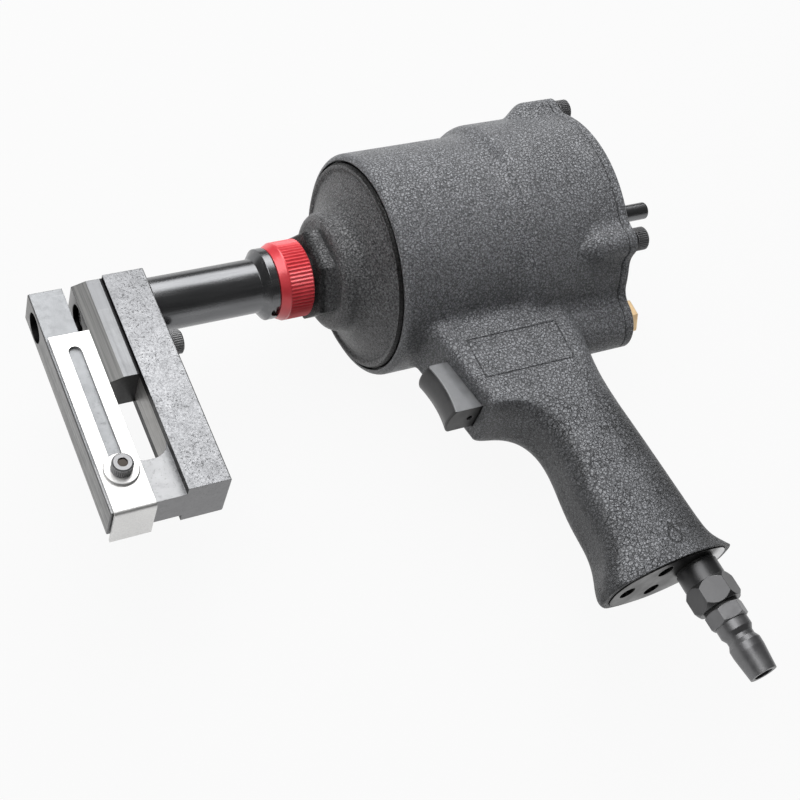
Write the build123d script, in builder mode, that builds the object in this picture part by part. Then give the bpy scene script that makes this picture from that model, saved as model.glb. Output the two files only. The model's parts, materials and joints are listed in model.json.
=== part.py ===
from build123d import *
import os
from math import atan2, cos, pi, radians, sin, sqrt

# Pneumatic C-frame punch: a pistol-shaped air cylinder that drives a punch in a swivelling C-frame head.
# Millimetres. X runs back along the punch axis from the die's mouth, Y is the tool's own up and Z its left.
# The tool lies on its right side, so Z points up from the surface it lies on.

# Fits
running_play = 0.05
thread_play = 0.05
moving_gap = 0.4
sheet_play = 0.1

# C-frame
arm_depth = 12.0
throat_gap = 14.2
block_depth = 15.0
frame_rise = 9.5
frame_drop = 80.0
block_width = 20.5
arm_width = 13.6
throat_drop = 64.0
throat_corner = 6.0
frame_edge = 0.4
line_bore = 11.0

# Punch, die and guide
sheet_gap = 3.3
guide_width = 17.0
guide_nose_width = 13.4
guide_taper = 5.1
guide_drop = 32.0
punch_stroke = 9.0
punch_inset = 1.5
tip_diameter = 7.0
tip_length = 9.0
die_play = 0.08
die_length = 6.0
punch_length = 39.0
punch_thread = 6.0
punch_thread_length = 10.0
lock_nut_height = 5.0
lock_nut_flats = 11.6

# Cap screws: thread, head, head height, key size
m5 = (5.0, 8.5, 5.0, 4.0)
m4 = (4.0, 7.0, 4.0, 3.0)
washer_height = 1.2
washer_wall = 1.7
guide_screw_drop = 17.0
guide_screw_grip = 8.0

# Edge stop
stop_thickness = 1.0
stop_width = 14.3
stop_overhang = 3.3
stop_top = 10.2
stop_bend = 1.6
stop_flange = 17.8
stop_end_gap = 0.6
slot_width = 4.6
stop_travel = 48.0
stop_screw_drop = 66.0
stop_screw_depth = 9.0
stop_washer_diameter = 12.0
stop_washer_height = 1.0

# Barrel and lock ring
barrel_diameter = 20.0
barrel_bore = 14.4
barrel_length = 40.0
spigot_diameter = 16.0
spigot_length = 9.0
collar_diameter = 26.4
collar_bevel = 2.6
collar_length = 5.6
notch_radius = 3.0
notch_depth = 1.6
shank_diameter = 23.0
shank_length = 14.0
ring_gap = 0.5
ring_width = 13.0
ring_diameter = 29.0
ring_nose_diameter = 26.0
ring_bevel = 2.9
ring_heel = 0.6
knurl_teeth = 64
knurl_depth = 0.5

# Front cap
boss_gap = 1.2
boss_flats = 30.5
boss_height = 6.5
hub_diameter = 45.0
hub_round = 4.0
hub_root = 5.0
hub_height = 8.0
cap_rise = 21.5
cap_diameter = 78.2
cap_bead = 1.8
cap_bead_height = 1.3
cap_bead_round = 0.4
cap_thread = 12.0
cap_wall = 6.0
seam_play = 0.2
seam_groove = 0.6
seam_groove_depth = 1.6
guide_boss_diameter = 30.0

# Cylinder
cylinder_diameter = 84.5
cylinder_length = 90.2
rim_round = 2.6
rear_diameter = 91.4
rear_wall = 8.7
step_start = 47.5
step_length = 8.0
ear_inset = 0.4
ear_radius = 5.6
ear_angle = 47.0
ear_blend = 11.0
ear_length = 9.5
ear_slope = 10.0
ear_steps = 4
lobe_outset = 1.8
lobe_radius = 11.0
lobe_blend = 7.0
lobe_length = 34.0
blend_sink = 0.15
chamber_diameter = 13.0
chamber_depth = 28.0

# Rear cover
gasket_thickness = 0.6
gasket_inset = 0.6
rear_edge = 0.5
cover_thickness = 3.6
hub_cover_diameter = 20.0
hub_cover_height = 8.0
channel_width = 9.0
channel_depth = 1.8
screw_length = 16.0
plug_thread = 10.0
plug_thread_length = 9.0
plug_flats = 12.0
plug_head = 5.0
plug_washer_thickness = 0.6

# Piston and rods
piston_length = 22.0
piston_play = 0.3
piston_back_gap = 2.8
rod_diameter = 12.0
rod_neck = 10.0
nut_flats = 17.0
nut_height = 7.0
nut_pocket = 26.0
nut_pocket_depth = 9.0
seal_width = 5.0
seal_depth = 3.2
pilot_diameter = 34.0
pilot_height = 2.0
tail_diameter = 7.0
tail_length = 47.0
tail_spigot = 5.0
tail_spigot_length = 8.0
bumper_height = 5.0
bush_wall = 2.5
rod_bush_length = 22.0
rod_seal_length = 5.0
tail_seal_length = 3.0
spring_wire = 3.2
spring_mean = 43.0
spring_turns = 6

# Grip: leans back a little, so its foot has its own plane
grip_lean = 4.0
housing_width = 27.2
junction_round = 4.0
foot_centre = 56.8
foot_drop = 153.0
foot_length = 53.8
foot_width = 29.1
foot_round = 9.0
foot_bulge = 7.5
foot_rim = 0.75
foot_ends = 2.2
plate_rise = 0.4
plate_play = 0.25
plate_thickness = 2.6
exhaust_hole = 6.2
exhaust_front = 18.0
exhaust_pair_back = 4.2
exhaust_pair_half = 6.8
inlet_back = 12.2
felt_length = 19.6
felt_width = 20.0
felt_round = 9.0
felt_thickness = 3.0
felt_play = 0.4

# Inlet bush and plug, measured down from the plate
bush_diameter = 15.8
bush_neck = 6.6
bush_hex_flats = 16.2
bush_hex_height = 9.5
bush_hex_turn = 25.0
bush_crown = 2.0
bush_thread = 11.0
bush_thread_length = 9.0
bush_bore = 7.6
inlet_seal_height = 1.0
plug_gap = 0.9
coupling_thread = 9.0
coupling_thread_length = 9.0
coupling_flats = 13.1
coupling_hex_height = 5.7
coupling_hex_turn = 16.0
coupling_crown = 0.7
coupling_neck_diameter = 12.2
coupling_neck = 3.6
coupling_groove_diameter = 10.2
coupling_groove = 1.5
coupling_flank = 1.8
coupling_shoulder_diameter = 12.0
coupling_shoulder = 2.8
coupling_tip_diameter = 10.2
coupling_taper = 9.2
coupling_bore = 7.0
screen_length = 6.0
screen_wall = 0.6

# Trigger and valve
trigger_drop = 63.5
trigger_height = 21.0
trigger_width = 13.0
trigger_reach = 4.2
trigger_lean = 1.6
trigger_hollow = 1.4
trigger_bulge = 1.8
trigger_edge = 0.8
trigger_length = 15.0
trigger_travel = 4.0
pin_diameter = 2.5
pin_inset = 2.0
pin_back = 4.4
stem_diameter = 5.0
stem_land = 8.0
sleeve_diameter = 14.0
sleeve_length = 32.0
sleeve_port = 4.0
gland_length = 5.0
valve_spring_wire = 1.0
valve_spring_mean = 6.0
valve_spring_length = 10.0
valve_spring_turns = 5
o_ring = 1.8
o_ring_play = 0.05
seal_slack = 0.2

# Marks on the casting
label_length = 38.0
label_height = 17.0
label_line = 0.3
label_depth = 0.12
label_round = 2.0
label_start = 20.5
label_drop = 58.5

# Stations along the punch axis
block_back = throat_gap + block_depth
collar_front = block_back + barrel_length
collar_back = collar_front + collar_length
ring_front = collar_back + ring_gap
ring_back = ring_front + ring_width
boss_front = ring_back + boss_gap
hub_front = boss_front + boss_height
seam = boss_front + cap_rise
housing_back = seam + cylinder_length
cover_front = housing_back + gasket_thickness
cover_back = cover_front + cover_thickness
piston_back = cover_front - piston_back_gap
piston_front = piston_back - piston_length
bumper_back = piston_front - punch_stroke - moving_gap
bumper_front = bumper_back - bumper_height
tip_front = sheet_gap + punch_inset
punch_back = tip_front + punch_length
rod_front = punch_back + lock_nut_height
cap_inside = seam + cap_wall
grip_x = seam + foot_centre


def outline(*points):
    """Flat face inside the given points of the side plane."""
    with BuildSketch(Plane.XY) as face:
        with BuildLine():
            Polyline(*points, close=True)
        make_face()
    return face.sketch


def across(x, y=0.0, z=0.0):
    """Plane square to the punch axis, with its own x along Y and its own y along Z."""
    return Plane(origin=(x, y, z), x_dir=(0, 1, 0), z_dir=(1, 0, 0))


def ring_profile(x_low, x_high, r_low, r_high):
    """Side-plane rectangle that a turn about the punch axis makes into a plain ring."""
    return outline((x_low, r_low), (x_high, r_low), (x_high, r_high), (x_low, r_high))


def hex_radius(flats):
    """Corner radius of a hexagon from its width across flats."""
    return flats / sqrt(3)


def crowned_hex(flats, height, crown, turn):
    """Hexagon on the XY plane whose corners are turned off at both ends, as on a nut."""
    with BuildPart() as hexagon:
        with BuildSketch():
            RegularPolygon(hex_radius(flats), 6, rotation=turn)
        extrude(amount=height)
        with BuildSketch(Plane.XZ):
            with BuildLine():
                Polyline(
                    (0, 0),
                    (flats / 2, 0),
                    (hex_radius(flats), crown),
                    (hex_radius(flats), height - crown),
                    (flats / 2, height),
                    (0, height),
                    close=True,
                )
            make_face()
        revolve(axis=Axis.Z, mode=Mode.INTERSECT)
    return hexagon.part


def cap_screw(size, length):
    """Socket cap screw along Z: the head stands on the XY plane and the thread hangs below it."""
    thread, head, height, key = size
    with BuildPart() as screw:
        with BuildSketch():
            Circle(head / 2)
        extrude(amount=height)
        chamfer(screw.edges().group_by(Axis.Z)[-1], head * 0.06)
        with BuildSketch():
            Circle(thread / 2)
        extrude(amount=-length)
        with BuildSketch(Plane.XY.offset(height)):
            RegularPolygon(hex_radius(key), 6)
        extrude(amount=-height * 0.6, mode=Mode.SUBTRACT)
    return screw.part


def spring_washer(thread, wall, height):
    """Split ring on the XY plane."""
    inner = thread / 2 + running_play
    with BuildPart() as washer:
        with BuildSketch():
            Circle(inner + wall)
            Circle(inner, mode=Mode.SUBTRACT)
            with Locations((inner + wall / 2, 0)):
                Rectangle(2 * wall, height * 0.5, rotation=20, mode=Mode.SUBTRACT)
        extrude(amount=height)
    return washer.part


def coil(x_low, x_high, mean, wire, turns):
    """Round wire wound about the X axis between two stations, in quarter turns that share tangents.

    Prints the least gap between neighbouring turns, measured on points of the wire's middle line.
    """
    low = x_low + wire / 2
    rise = x_high - x_low - wire
    quarters = 4 * turns

    def point(q):
        angle = q * pi / 2
        return (low + rise * q / quarters, mean / 2 * cos(angle), mean / 2 * sin(angle))

    with BuildLine() as path:
        for q in range(quarters):
            ThreePointArc(point(q), point(q + 0.5), point(q + 1))
    spots = [path.line @ (k / (8 * quarters)) for k in range(8 * quarters + 1)]
    ahead = range(24, 41)
    apart = [(spots[k + n] - spots[k]).length for n in ahead for k in range(len(spots) - n)]
    print(f"coil of {wire} mm wire: least gap {min(apart) - wire:.2f} mm")
    start = path.line.edges().sort_by(Axis.X)[0]
    with BuildPart() as wound:
        with BuildSketch(Plane(origin=point(0), z_dir=start % 0)):
            Circle(wire / 2)
        sweep(path=path.line)
    return wound.part


# Head: the C-frame and what is fixed to it
with BuildPart() as c_frame:
    with BuildSketch(Plane.XY):
        with Locations(((block_back - arm_depth) / 2, (frame_rise - frame_drop) / 2)):
            Rectangle(block_back + arm_depth, frame_rise + frame_drop)
        with Locations((throat_gap / 2, frame_rise - (frame_rise + throat_drop) / 2)):
            Rectangle(throat_gap, frame_rise + throat_drop, mode=Mode.SUBTRACT)
        floor = vertices().filter_by_position(Axis.Y, -throat_drop - 0.1, -throat_drop + 0.1)
        fillet(floor, throat_corner)
    extrude(amount=arm_width / 2, both=True)
    with BuildSketch(Plane.XY):
        with Locations(((throat_gap + block_back) / 2, (frame_rise - frame_drop) / 2)):
            Rectangle(block_depth, frame_rise + frame_drop)
    extrude(amount=block_width / 2, both=True)
    outer = c_frame.edges().filter_by(Axis.Y)
    back_corners = outer.group_by(Axis.X)[-1]
    front_corners = outer.group_by(Axis.X)[0]
    chamfer(back_corners + front_corners, frame_edge)
    with BuildSketch(across(-arm_depth)):
        Circle(line_bore / 2)
    extrude(amount=arm_depth, mode=Mode.SUBTRACT)
    with BuildSketch(across(throat_gap)):
        Circle(barrel_bore / 2)
    extrude(amount=block_depth, mode=Mode.SUBTRACT)
    with BuildSketch(across(block_back)):
        Circle(spigot_diameter / 2)
    extrude(amount=-spigot_length, mode=Mode.SUBTRACT)
    with BuildSketch(across(throat_gap, -guide_screw_drop)):
        Circle(m5[0] / 2 + thread_play)
    extrude(amount=block_depth, mode=Mode.SUBTRACT)
    stop_x = stop_overhang - stop_width / 2
    stop_face = arm_width / 2
    with BuildSketch(Plane.XY.offset(stop_face)):
        with Locations((stop_x, -stop_screw_drop)):
            Circle(m4[0] / 2 + thread_play)
    extrude(amount=-stop_screw_depth, mode=Mode.SUBTRACT)

with BuildPart() as punch_guide:
    with BuildSketch(Plane.XZ.offset(-frame_rise)):
        with BuildLine():
            Polyline(
                (sheet_gap, -guide_nose_width / 2),
                (sheet_gap + guide_taper, -guide_width / 2),
                (throat_gap, -guide_width / 2),
                (throat_gap, guide_width / 2),
                (sheet_gap + guide_taper, guide_width / 2),
                (sheet_gap, guide_nose_width / 2),
                close=True,
            )
        make_face()
    extrude(amount=frame_rise + guide_drop)
    with BuildSketch(across(sheet_gap)):
        Circle(line_bore / 2)
    extrude(amount=throat_gap - sheet_gap, mode=Mode.SUBTRACT)
    with BuildSketch(across(throat_gap, -guide_screw_drop)):
        Circle(m5[0] / 2 + thread_play)
    extrude(amount=-guide_screw_grip, mode=Mode.SUBTRACT)

with BuildPart() as guide_screw:
    with Locations(Plane(origin=(block_back + washer_height, -guide_screw_drop, 0), z_dir=(1, 0, 0))):
        add(cap_screw(m5, block_depth + washer_height + guide_screw_grip - 0.5))

with BuildPart() as guide_washer:
    with Locations(Plane(origin=(block_back, -guide_screw_drop, 0), z_dir=(1, 0, 0))):
        add(spring_washer(m5[0], washer_wall, washer_height))

with BuildPart() as die_bush:
    die_hole = tip_diameter / 2 + die_play
    revolve(ring_profile(-die_length, 0, die_hole, line_bore / 2), axis=Axis.X)
    with BuildSketch(across(-die_length)):
        Circle((die_hole + line_bore / 2) / 2)
    extrude(amount=die_length * 0.4, mode=Mode.SUBTRACT)

# Edge stop: a slotted strap with a bent end, its screw and its washer
stop_low = frame_drop + stop_end_gap
strap_in = stop_face + sheet_play
strap_out = strap_in + stop_thickness
with BuildPart() as stop_plate:
    with BuildSketch(Plane.YZ.offset(stop_overhang - stop_width)):
        with BuildLine():
            Polyline((-stop_top, strap_in), (-stop_low, strap_in), (-stop_low, strap_out - stop_flange))
            Polyline(
                (-stop_low, strap_out - stop_flange),
                (-stop_low - stop_thickness, strap_out - stop_flange),
                (-stop_low - stop_thickness, strap_out),
                (-stop_top, strap_out),
                (-stop_top, strap_in),
            )
        make_face()
        inner_bend = vertices().sort_by_distance((-stop_low, strap_in))[0]
        fillet(inner_bend, stop_bend - stop_thickness)
        outer_bend = vertices().sort_by_distance((-stop_low - stop_thickness, strap_out))[0]
        fillet(outer_bend, stop_bend)
    extrude(amount=stop_width)
    slot_top = stop_screw_drop - stop_travel - sheet_play
    with BuildSketch(Plane.XY.offset(strap_in)):
        with Locations((stop_x, -(slot_top + stop_screw_drop) / 2)):
            SlotCenterToCenter(stop_screw_drop - slot_top, slot_width, rotation=90)
    extrude(amount=stop_thickness, mode=Mode.SUBTRACT)

washer_in = strap_out + sheet_play
with BuildPart() as stop_washer:
    with BuildSketch(Plane.XY.offset(washer_in)):
        with Locations((stop_x, -stop_screw_drop)):
            Circle(stop_washer_diameter / 2)
            Circle(m4[0] / 2 + thread_play, mode=Mode.SUBTRACT)
    extrude(amount=stop_washer_height)
    chamfer(stop_washer.edges().group_by(Axis.Z)[-1].sort_by(SortBy.RADIUS)[-1], stop_washer_height * 0.3)

with BuildPart() as stop_screw:
    head_seat = washer_in + stop_washer_height
    with Locations(Plane(origin=(stop_x, -stop_screw_drop, head_seat))):
        add(cap_screw(m4, head_seat - stop_face + stop_screw_depth - 0.5))

# Barrel and lock ring
with BuildPart() as barrel_tube:
    shank_back = boss_front + shank_length
    revolve(
        outline(
            (block_back - spigot_length, barrel_bore / 2),
            (block_back - spigot_length, spigot_diameter / 2 - thread_play),
            (block_back, spigot_diameter / 2 - thread_play),
            (block_back, barrel_diameter / 2),
            (collar_front, barrel_diameter / 2),
            (collar_front + collar_bevel, collar_diameter / 2),
            (collar_back, collar_diameter / 2),
            (collar_back, shank_diameter / 2),
            (shank_back, shank_diameter / 2),
            (shank_back, barrel_bore / 2),
        ),
        axis=Axis.X,
    )
    # Round spanner notches in the back edge of the collar, above and below
    for side in (1, -1):
        notch_floor = side * (collar_diameter / 2 - notch_depth)
        with BuildSketch(Plane(origin=(collar_back, notch_floor, 0), x_dir=(1, 0, 0), z_dir=(0, side, 0))):
            Circle(notch_radius)
        extrude(amount=2 * notch_depth, mode=Mode.SUBTRACT)

with BuildPart() as lock_ring:
    ring_bore = shank_diameter / 2 + running_play
    root = ring_diameter / 2 - knurl_depth
    revolve(
        outline(
            (ring_front, ring_bore),
            (ring_front, ring_nose_diameter / 2),
            (ring_front + ring_bevel, ring_diameter / 2),
            (ring_front + ring_bevel + ring_heel, ring_diameter / 2),
            (ring_front + ring_bevel + ring_heel, root),
            (ring_back - ring_heel, root),
            (ring_back, root - ring_heel),
            (ring_back, ring_bore),
        ),
        axis=Axis.X,
    )
    with BuildSketch(across(ring_front + ring_bevel)):
        with BuildLine():
            teeth = []
            for k in range(2 * knurl_teeth):
                radius = ring_diameter / 2 if k % 2 == 0 else root
                angle = k * pi / knurl_teeth
                teeth.append((radius * cos(angle), radius * sin(angle)))
            Polyline(*teeth, close=True)
        make_face()
        Circle((ring_bore + root) / 2, mode=Mode.SUBTRACT)
    extrude(amount=ring_width - ring_bevel - ring_heel)

# Front cap: dished face, round hub, hexagon boss and the rod's guide boss inside
cap_r = cap_diameter / 2
rim_r = cap_r + seam_play
hub_r = hub_diameter / 2
hub_back = hub_front + hub_height
seal_x = seam + cap_thread - 2 * o_ring
with BuildPart() as front_cap:
    with BuildSketch(Plane.XY):
        with BuildLine():
            Polyline(
                (hub_front, shank_diameter / 2),
                (hub_front, hub_r),
                (hub_back, hub_r),
                (seam - cap_bead_height * 0.5, cap_r - cap_bead * 1.6),
                (seam - cap_bead_height, cap_r - cap_bead),
                (seam - cap_bead_height, cap_r - cap_bead * 0.4),
                (seam, cap_r),
                (seal_x, cap_r),
                (seal_x, cap_r - o_ring),
                (seal_x + o_ring * 1.3, cap_r - o_ring),
                (seal_x + o_ring * 1.3, cap_r),
                (seam + cap_thread, cap_r),
                (seam + cap_thread, cap_r - cap_wall),
                (cap_inside, cap_r - cap_wall - cap_thread / 2),
                (cap_inside, guide_boss_diameter / 2),
                (bumper_front, guide_boss_diameter / 2),
                (bumper_front, shank_diameter / 2),
                close=True,
            )
        make_face()
        bead_x = seam - cap_bead_height
        bead_top = vertices().filter_by_position(Axis.X, bead_x - 0.01, bead_x + 0.01)
        fillet(bead_top, cap_bead_round)
        fillet(vertices().sort_by_distance((hub_front, hub_r))[0], hub_round)
        fillet(vertices().sort_by_distance((hub_back, hub_r))[0], hub_root)
    revolve(axis=Axis.X)
    with BuildSketch(across(boss_front)):
        RegularPolygon(hex_radius(boss_flats), 6)
    extrude(amount=boss_height + hub_round)
    chamfer(front_cap.faces().sort_by(Axis.X)[0].edges(), 0.6)
    # The middle is filled, then bored for the shank, the rod, its seal and its bush
    bush_front = bumper_front - rod_bush_length
    seal_front = bush_front - rod_seal_length
    rod_bush_r = rod_diameter / 2 + running_play + bush_wall
    revolve(ring_profile(boss_front, bumper_front, 0, shank_diameter / 2), axis=Axis.X)
    with BuildSketch(across(boss_front)):
        Circle(shank_diameter / 2 + running_play)
    extrude(amount=shank_length + moving_gap, mode=Mode.SUBTRACT)
    with BuildSketch(across(boss_front)):
        Circle(rod_diameter / 2 + moving_gap)
    extrude(amount=bumper_front - boss_front, mode=Mode.SUBTRACT)
    with BuildSketch(across(seal_front)):
        Circle(rod_bush_r)
    extrude(amount=bumper_front - seal_front, mode=Mode.SUBTRACT)

with BuildPart() as cap_seal:
    seal_in = cap_r - o_ring + o_ring_play
    seal_end = seal_x + o_ring * 1.3 - seal_slack
    revolve(ring_profile(seal_x + seal_slack, seal_end, seal_in, rim_r), axis=Axis.X)

with BuildPart() as rod_bush:
    rod_bush_bore = rod_diameter / 2 + running_play
    revolve(ring_profile(bush_front, bumper_front, rod_bush_bore, rod_bush_r), axis=Axis.X)

with BuildPart() as rod_seal:
    lip = rod_diameter / 2 + running_play
    revolve(
        outline(
            (seal_front, lip + 0.6),
            (seal_front + rod_seal_length * 0.3, lip),
            (bush_front, lip + 0.6),
            (bush_front, rod_bush_r),
            (seal_front, rod_bush_r),
        ),
        axis=Axis.X,
    )

with BuildPart() as stop_bumper:
    bumper_bore = rod_diameter / 2 + moving_gap
    revolve(ring_profile(bumper_front, bumper_back, bumper_bore, guide_boss_diameter / 2), axis=Axis.X)
    chamfer(stop_bumper.edges().group_by(Axis.X)[-1], 0.6)

# Cylinder, grip and valve boss in one casting
rear_r = rear_diameter / 2
ear_r = rear_r - ear_inset
lobe_drop = rear_r + lobe_outset
bore_r = rear_r - rear_wall


def rear_outline(ears=True, inset=0.0, sink=0.0, ear_drop=0.0):
    """Outline of the rear end, a circle with its four ears or its valve lobe, drawn in by the inset.

    The sink makes the circle alone smaller, so that it lies inside the barrel it is joined to.
    The drop moves the ears in towards the punch axis.
    """
    with BuildSketch(Plane.XY) as shape:
        Circle(rear_r - sink - inset)
        if ears:
            with Locations(*ear_places(ear_drop)):
                Circle(ear_radius - inset)
        else:
            with Locations((-lobe_drop, 0)):
                Circle(lobe_radius - inset)
        fillet(shape.vertices(), (ear_blend if ears else lobe_blend) + inset)
    return shape.sketch


def ear_places(drop=0.0):
    """Centres of the four ears, as places on a plane square to the punch axis."""
    places = []
    for side in (1, -1):
        for end in (1, -1):
            angle = radians(ear_angle)
            places.append((side * (ear_r - drop) * sin(angle), end * (ear_r - drop) * cos(angle)))
    return places


def foot_plane(depth=0.0):
    """Plane of the grip's foot, moved down along the leaning grip by the given depth."""
    lean = radians(grip_lean)
    down = (sin(lean), -cos(lean), 0)
    start = (grip_x + down[0] * depth, -foot_drop + down[1] * depth, 0)
    return Plane(origin=start, x_dir=(cos(lean), sin(lean), 0), z_dir=down)


def handle_outline(length, width, front_corner, back_corner, bulge):
    """Rounded outline along X: straight ends, sides that swell by the bulge, and a corner for each end."""
    end = length / 2
    high = width / 2

    def corner(radius):
        """Points of a back corner: where it leaves the end, half way and where it meets the side."""
        inner = end - radius
        if bulge > 0:
            side_radius = (end**2 + bulge**2) / (2 * bulge)
            up = sqrt((side_radius - radius) ** 2 - inner**2)
            middle = high - side_radius + up
            turn = atan2(up, inner)
        else:
            middle = high - radius
            turn = pi / 2
        return [(inner + radius * cos(a), middle + radius * sin(a)) for a in (0.0, turn / 2, turn)]

    def side(start, finish, height):
        if bulge > 0:
            ThreePointArc(start, (0, height), finish)
        else:
            Line(start, finish)

    back_high = corner(back_corner)
    back_low = [(x, -y) for x, y in back_high]
    front_high = [(-x, y) for x, y in corner(front_corner)]
    front_low = [(x, -y) for x, y in front_high]
    with BuildSketch(Plane.XY) as face:
        with BuildLine():
            side(front_low[2], back_low[2], -high)
            ThreePointArc(*reversed(back_low))
            Line(back_low[0], back_high[0])
            ThreePointArc(*back_high)
            side(back_high[2], front_high[2], high)
            ThreePointArc(*reversed(front_high))
            Line(front_high[0], front_low[0])
            ThreePointArc(*front_low)
        make_face()
    return face.sketch


def grip_section(front, back, width, front_corner, back_corner, bulge):
    """Section of the handle between a point of its front edge and a point of its back edge."""
    length = sqrt((back[0] - front[0]) ** 2 + (back[1] - front[1]) ** 2)
    along = ((back[0] - front[0]) / length, (back[1] - front[1]) / length, 0)
    middle = (seam + (front[0] + back[0]) / 2, (front[1] + back[1]) / 2, 0)
    plane = Plane(origin=middle, x_dir=along, z_dir=(along[1], -along[0], 0))
    return (plane * handle_outline(length, width, front_corner, back_corner, bulge)).face()


def foot_outline(shorter=0.0, narrower=0.0):
    """Oval outline of the grip's foot, or of what lies inside it."""
    return handle_outline(foot_length - shorter, foot_width - narrower, foot_round, foot_round, foot_bulge)


def joins_barrel(edge):
    """True for the edges where the handle block meets the barrel."""
    middle = edge @ 0.5
    under = middle.Y < -block_reach and abs(middle.Z) < housing_width / 2 + 0.1
    inside = sqrt(middle.Y ** 2 + middle.Z ** 2) < rear_r + 0.1
    return under and inside and seam + rim_round < middle.X < housing_back - 1.0


# Handle sections: front edge and back edge as distance behind the seam and height,
# then the width, the front and back corners and the swell of the sides
block_reach = 30.0
block_sections = [
    ((8.3, -block_reach), (72.0, -block_reach), housing_width, 3.0, 10.0, 0.0),
    ((13.6, -54.5), (71.6, -50.0), housing_width, 3.0, 10.0, 0.0),
    ((18.4, -76.8), (70.2, -64.0), housing_width, 3.0, 10.0, 0.0),
]
grip_sections = [
    block_sections[-1],
    ((24.5, -79.6), (69.7, -76.0), housing_width, 6.5, 10.5, 0.2),
    ((32.8, -85.0), (70.2, -88.0), 27.2, 8.0, 10.0, 0.6),
    ((36.6, -96.5), (71.3, -100.0), 27.4, 9.0, 9.5, 1.2),
    ((35.7, -112.0), (72.6, -113.0), 27.4, 9.0, 9.0, 1.6),
    ((35.2, -127.0), (73.9, -127.0), 27.6, 8.5, 8.5, 2.2),
    ((34.4, -139.5), (75.4, -140.0), 28.0, 8.0, 8.0, 3.4),
    ((30.0, -149.8), (79.0, -146.5), 28.6, 8.5, 8.5, 6.5),
]

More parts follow.
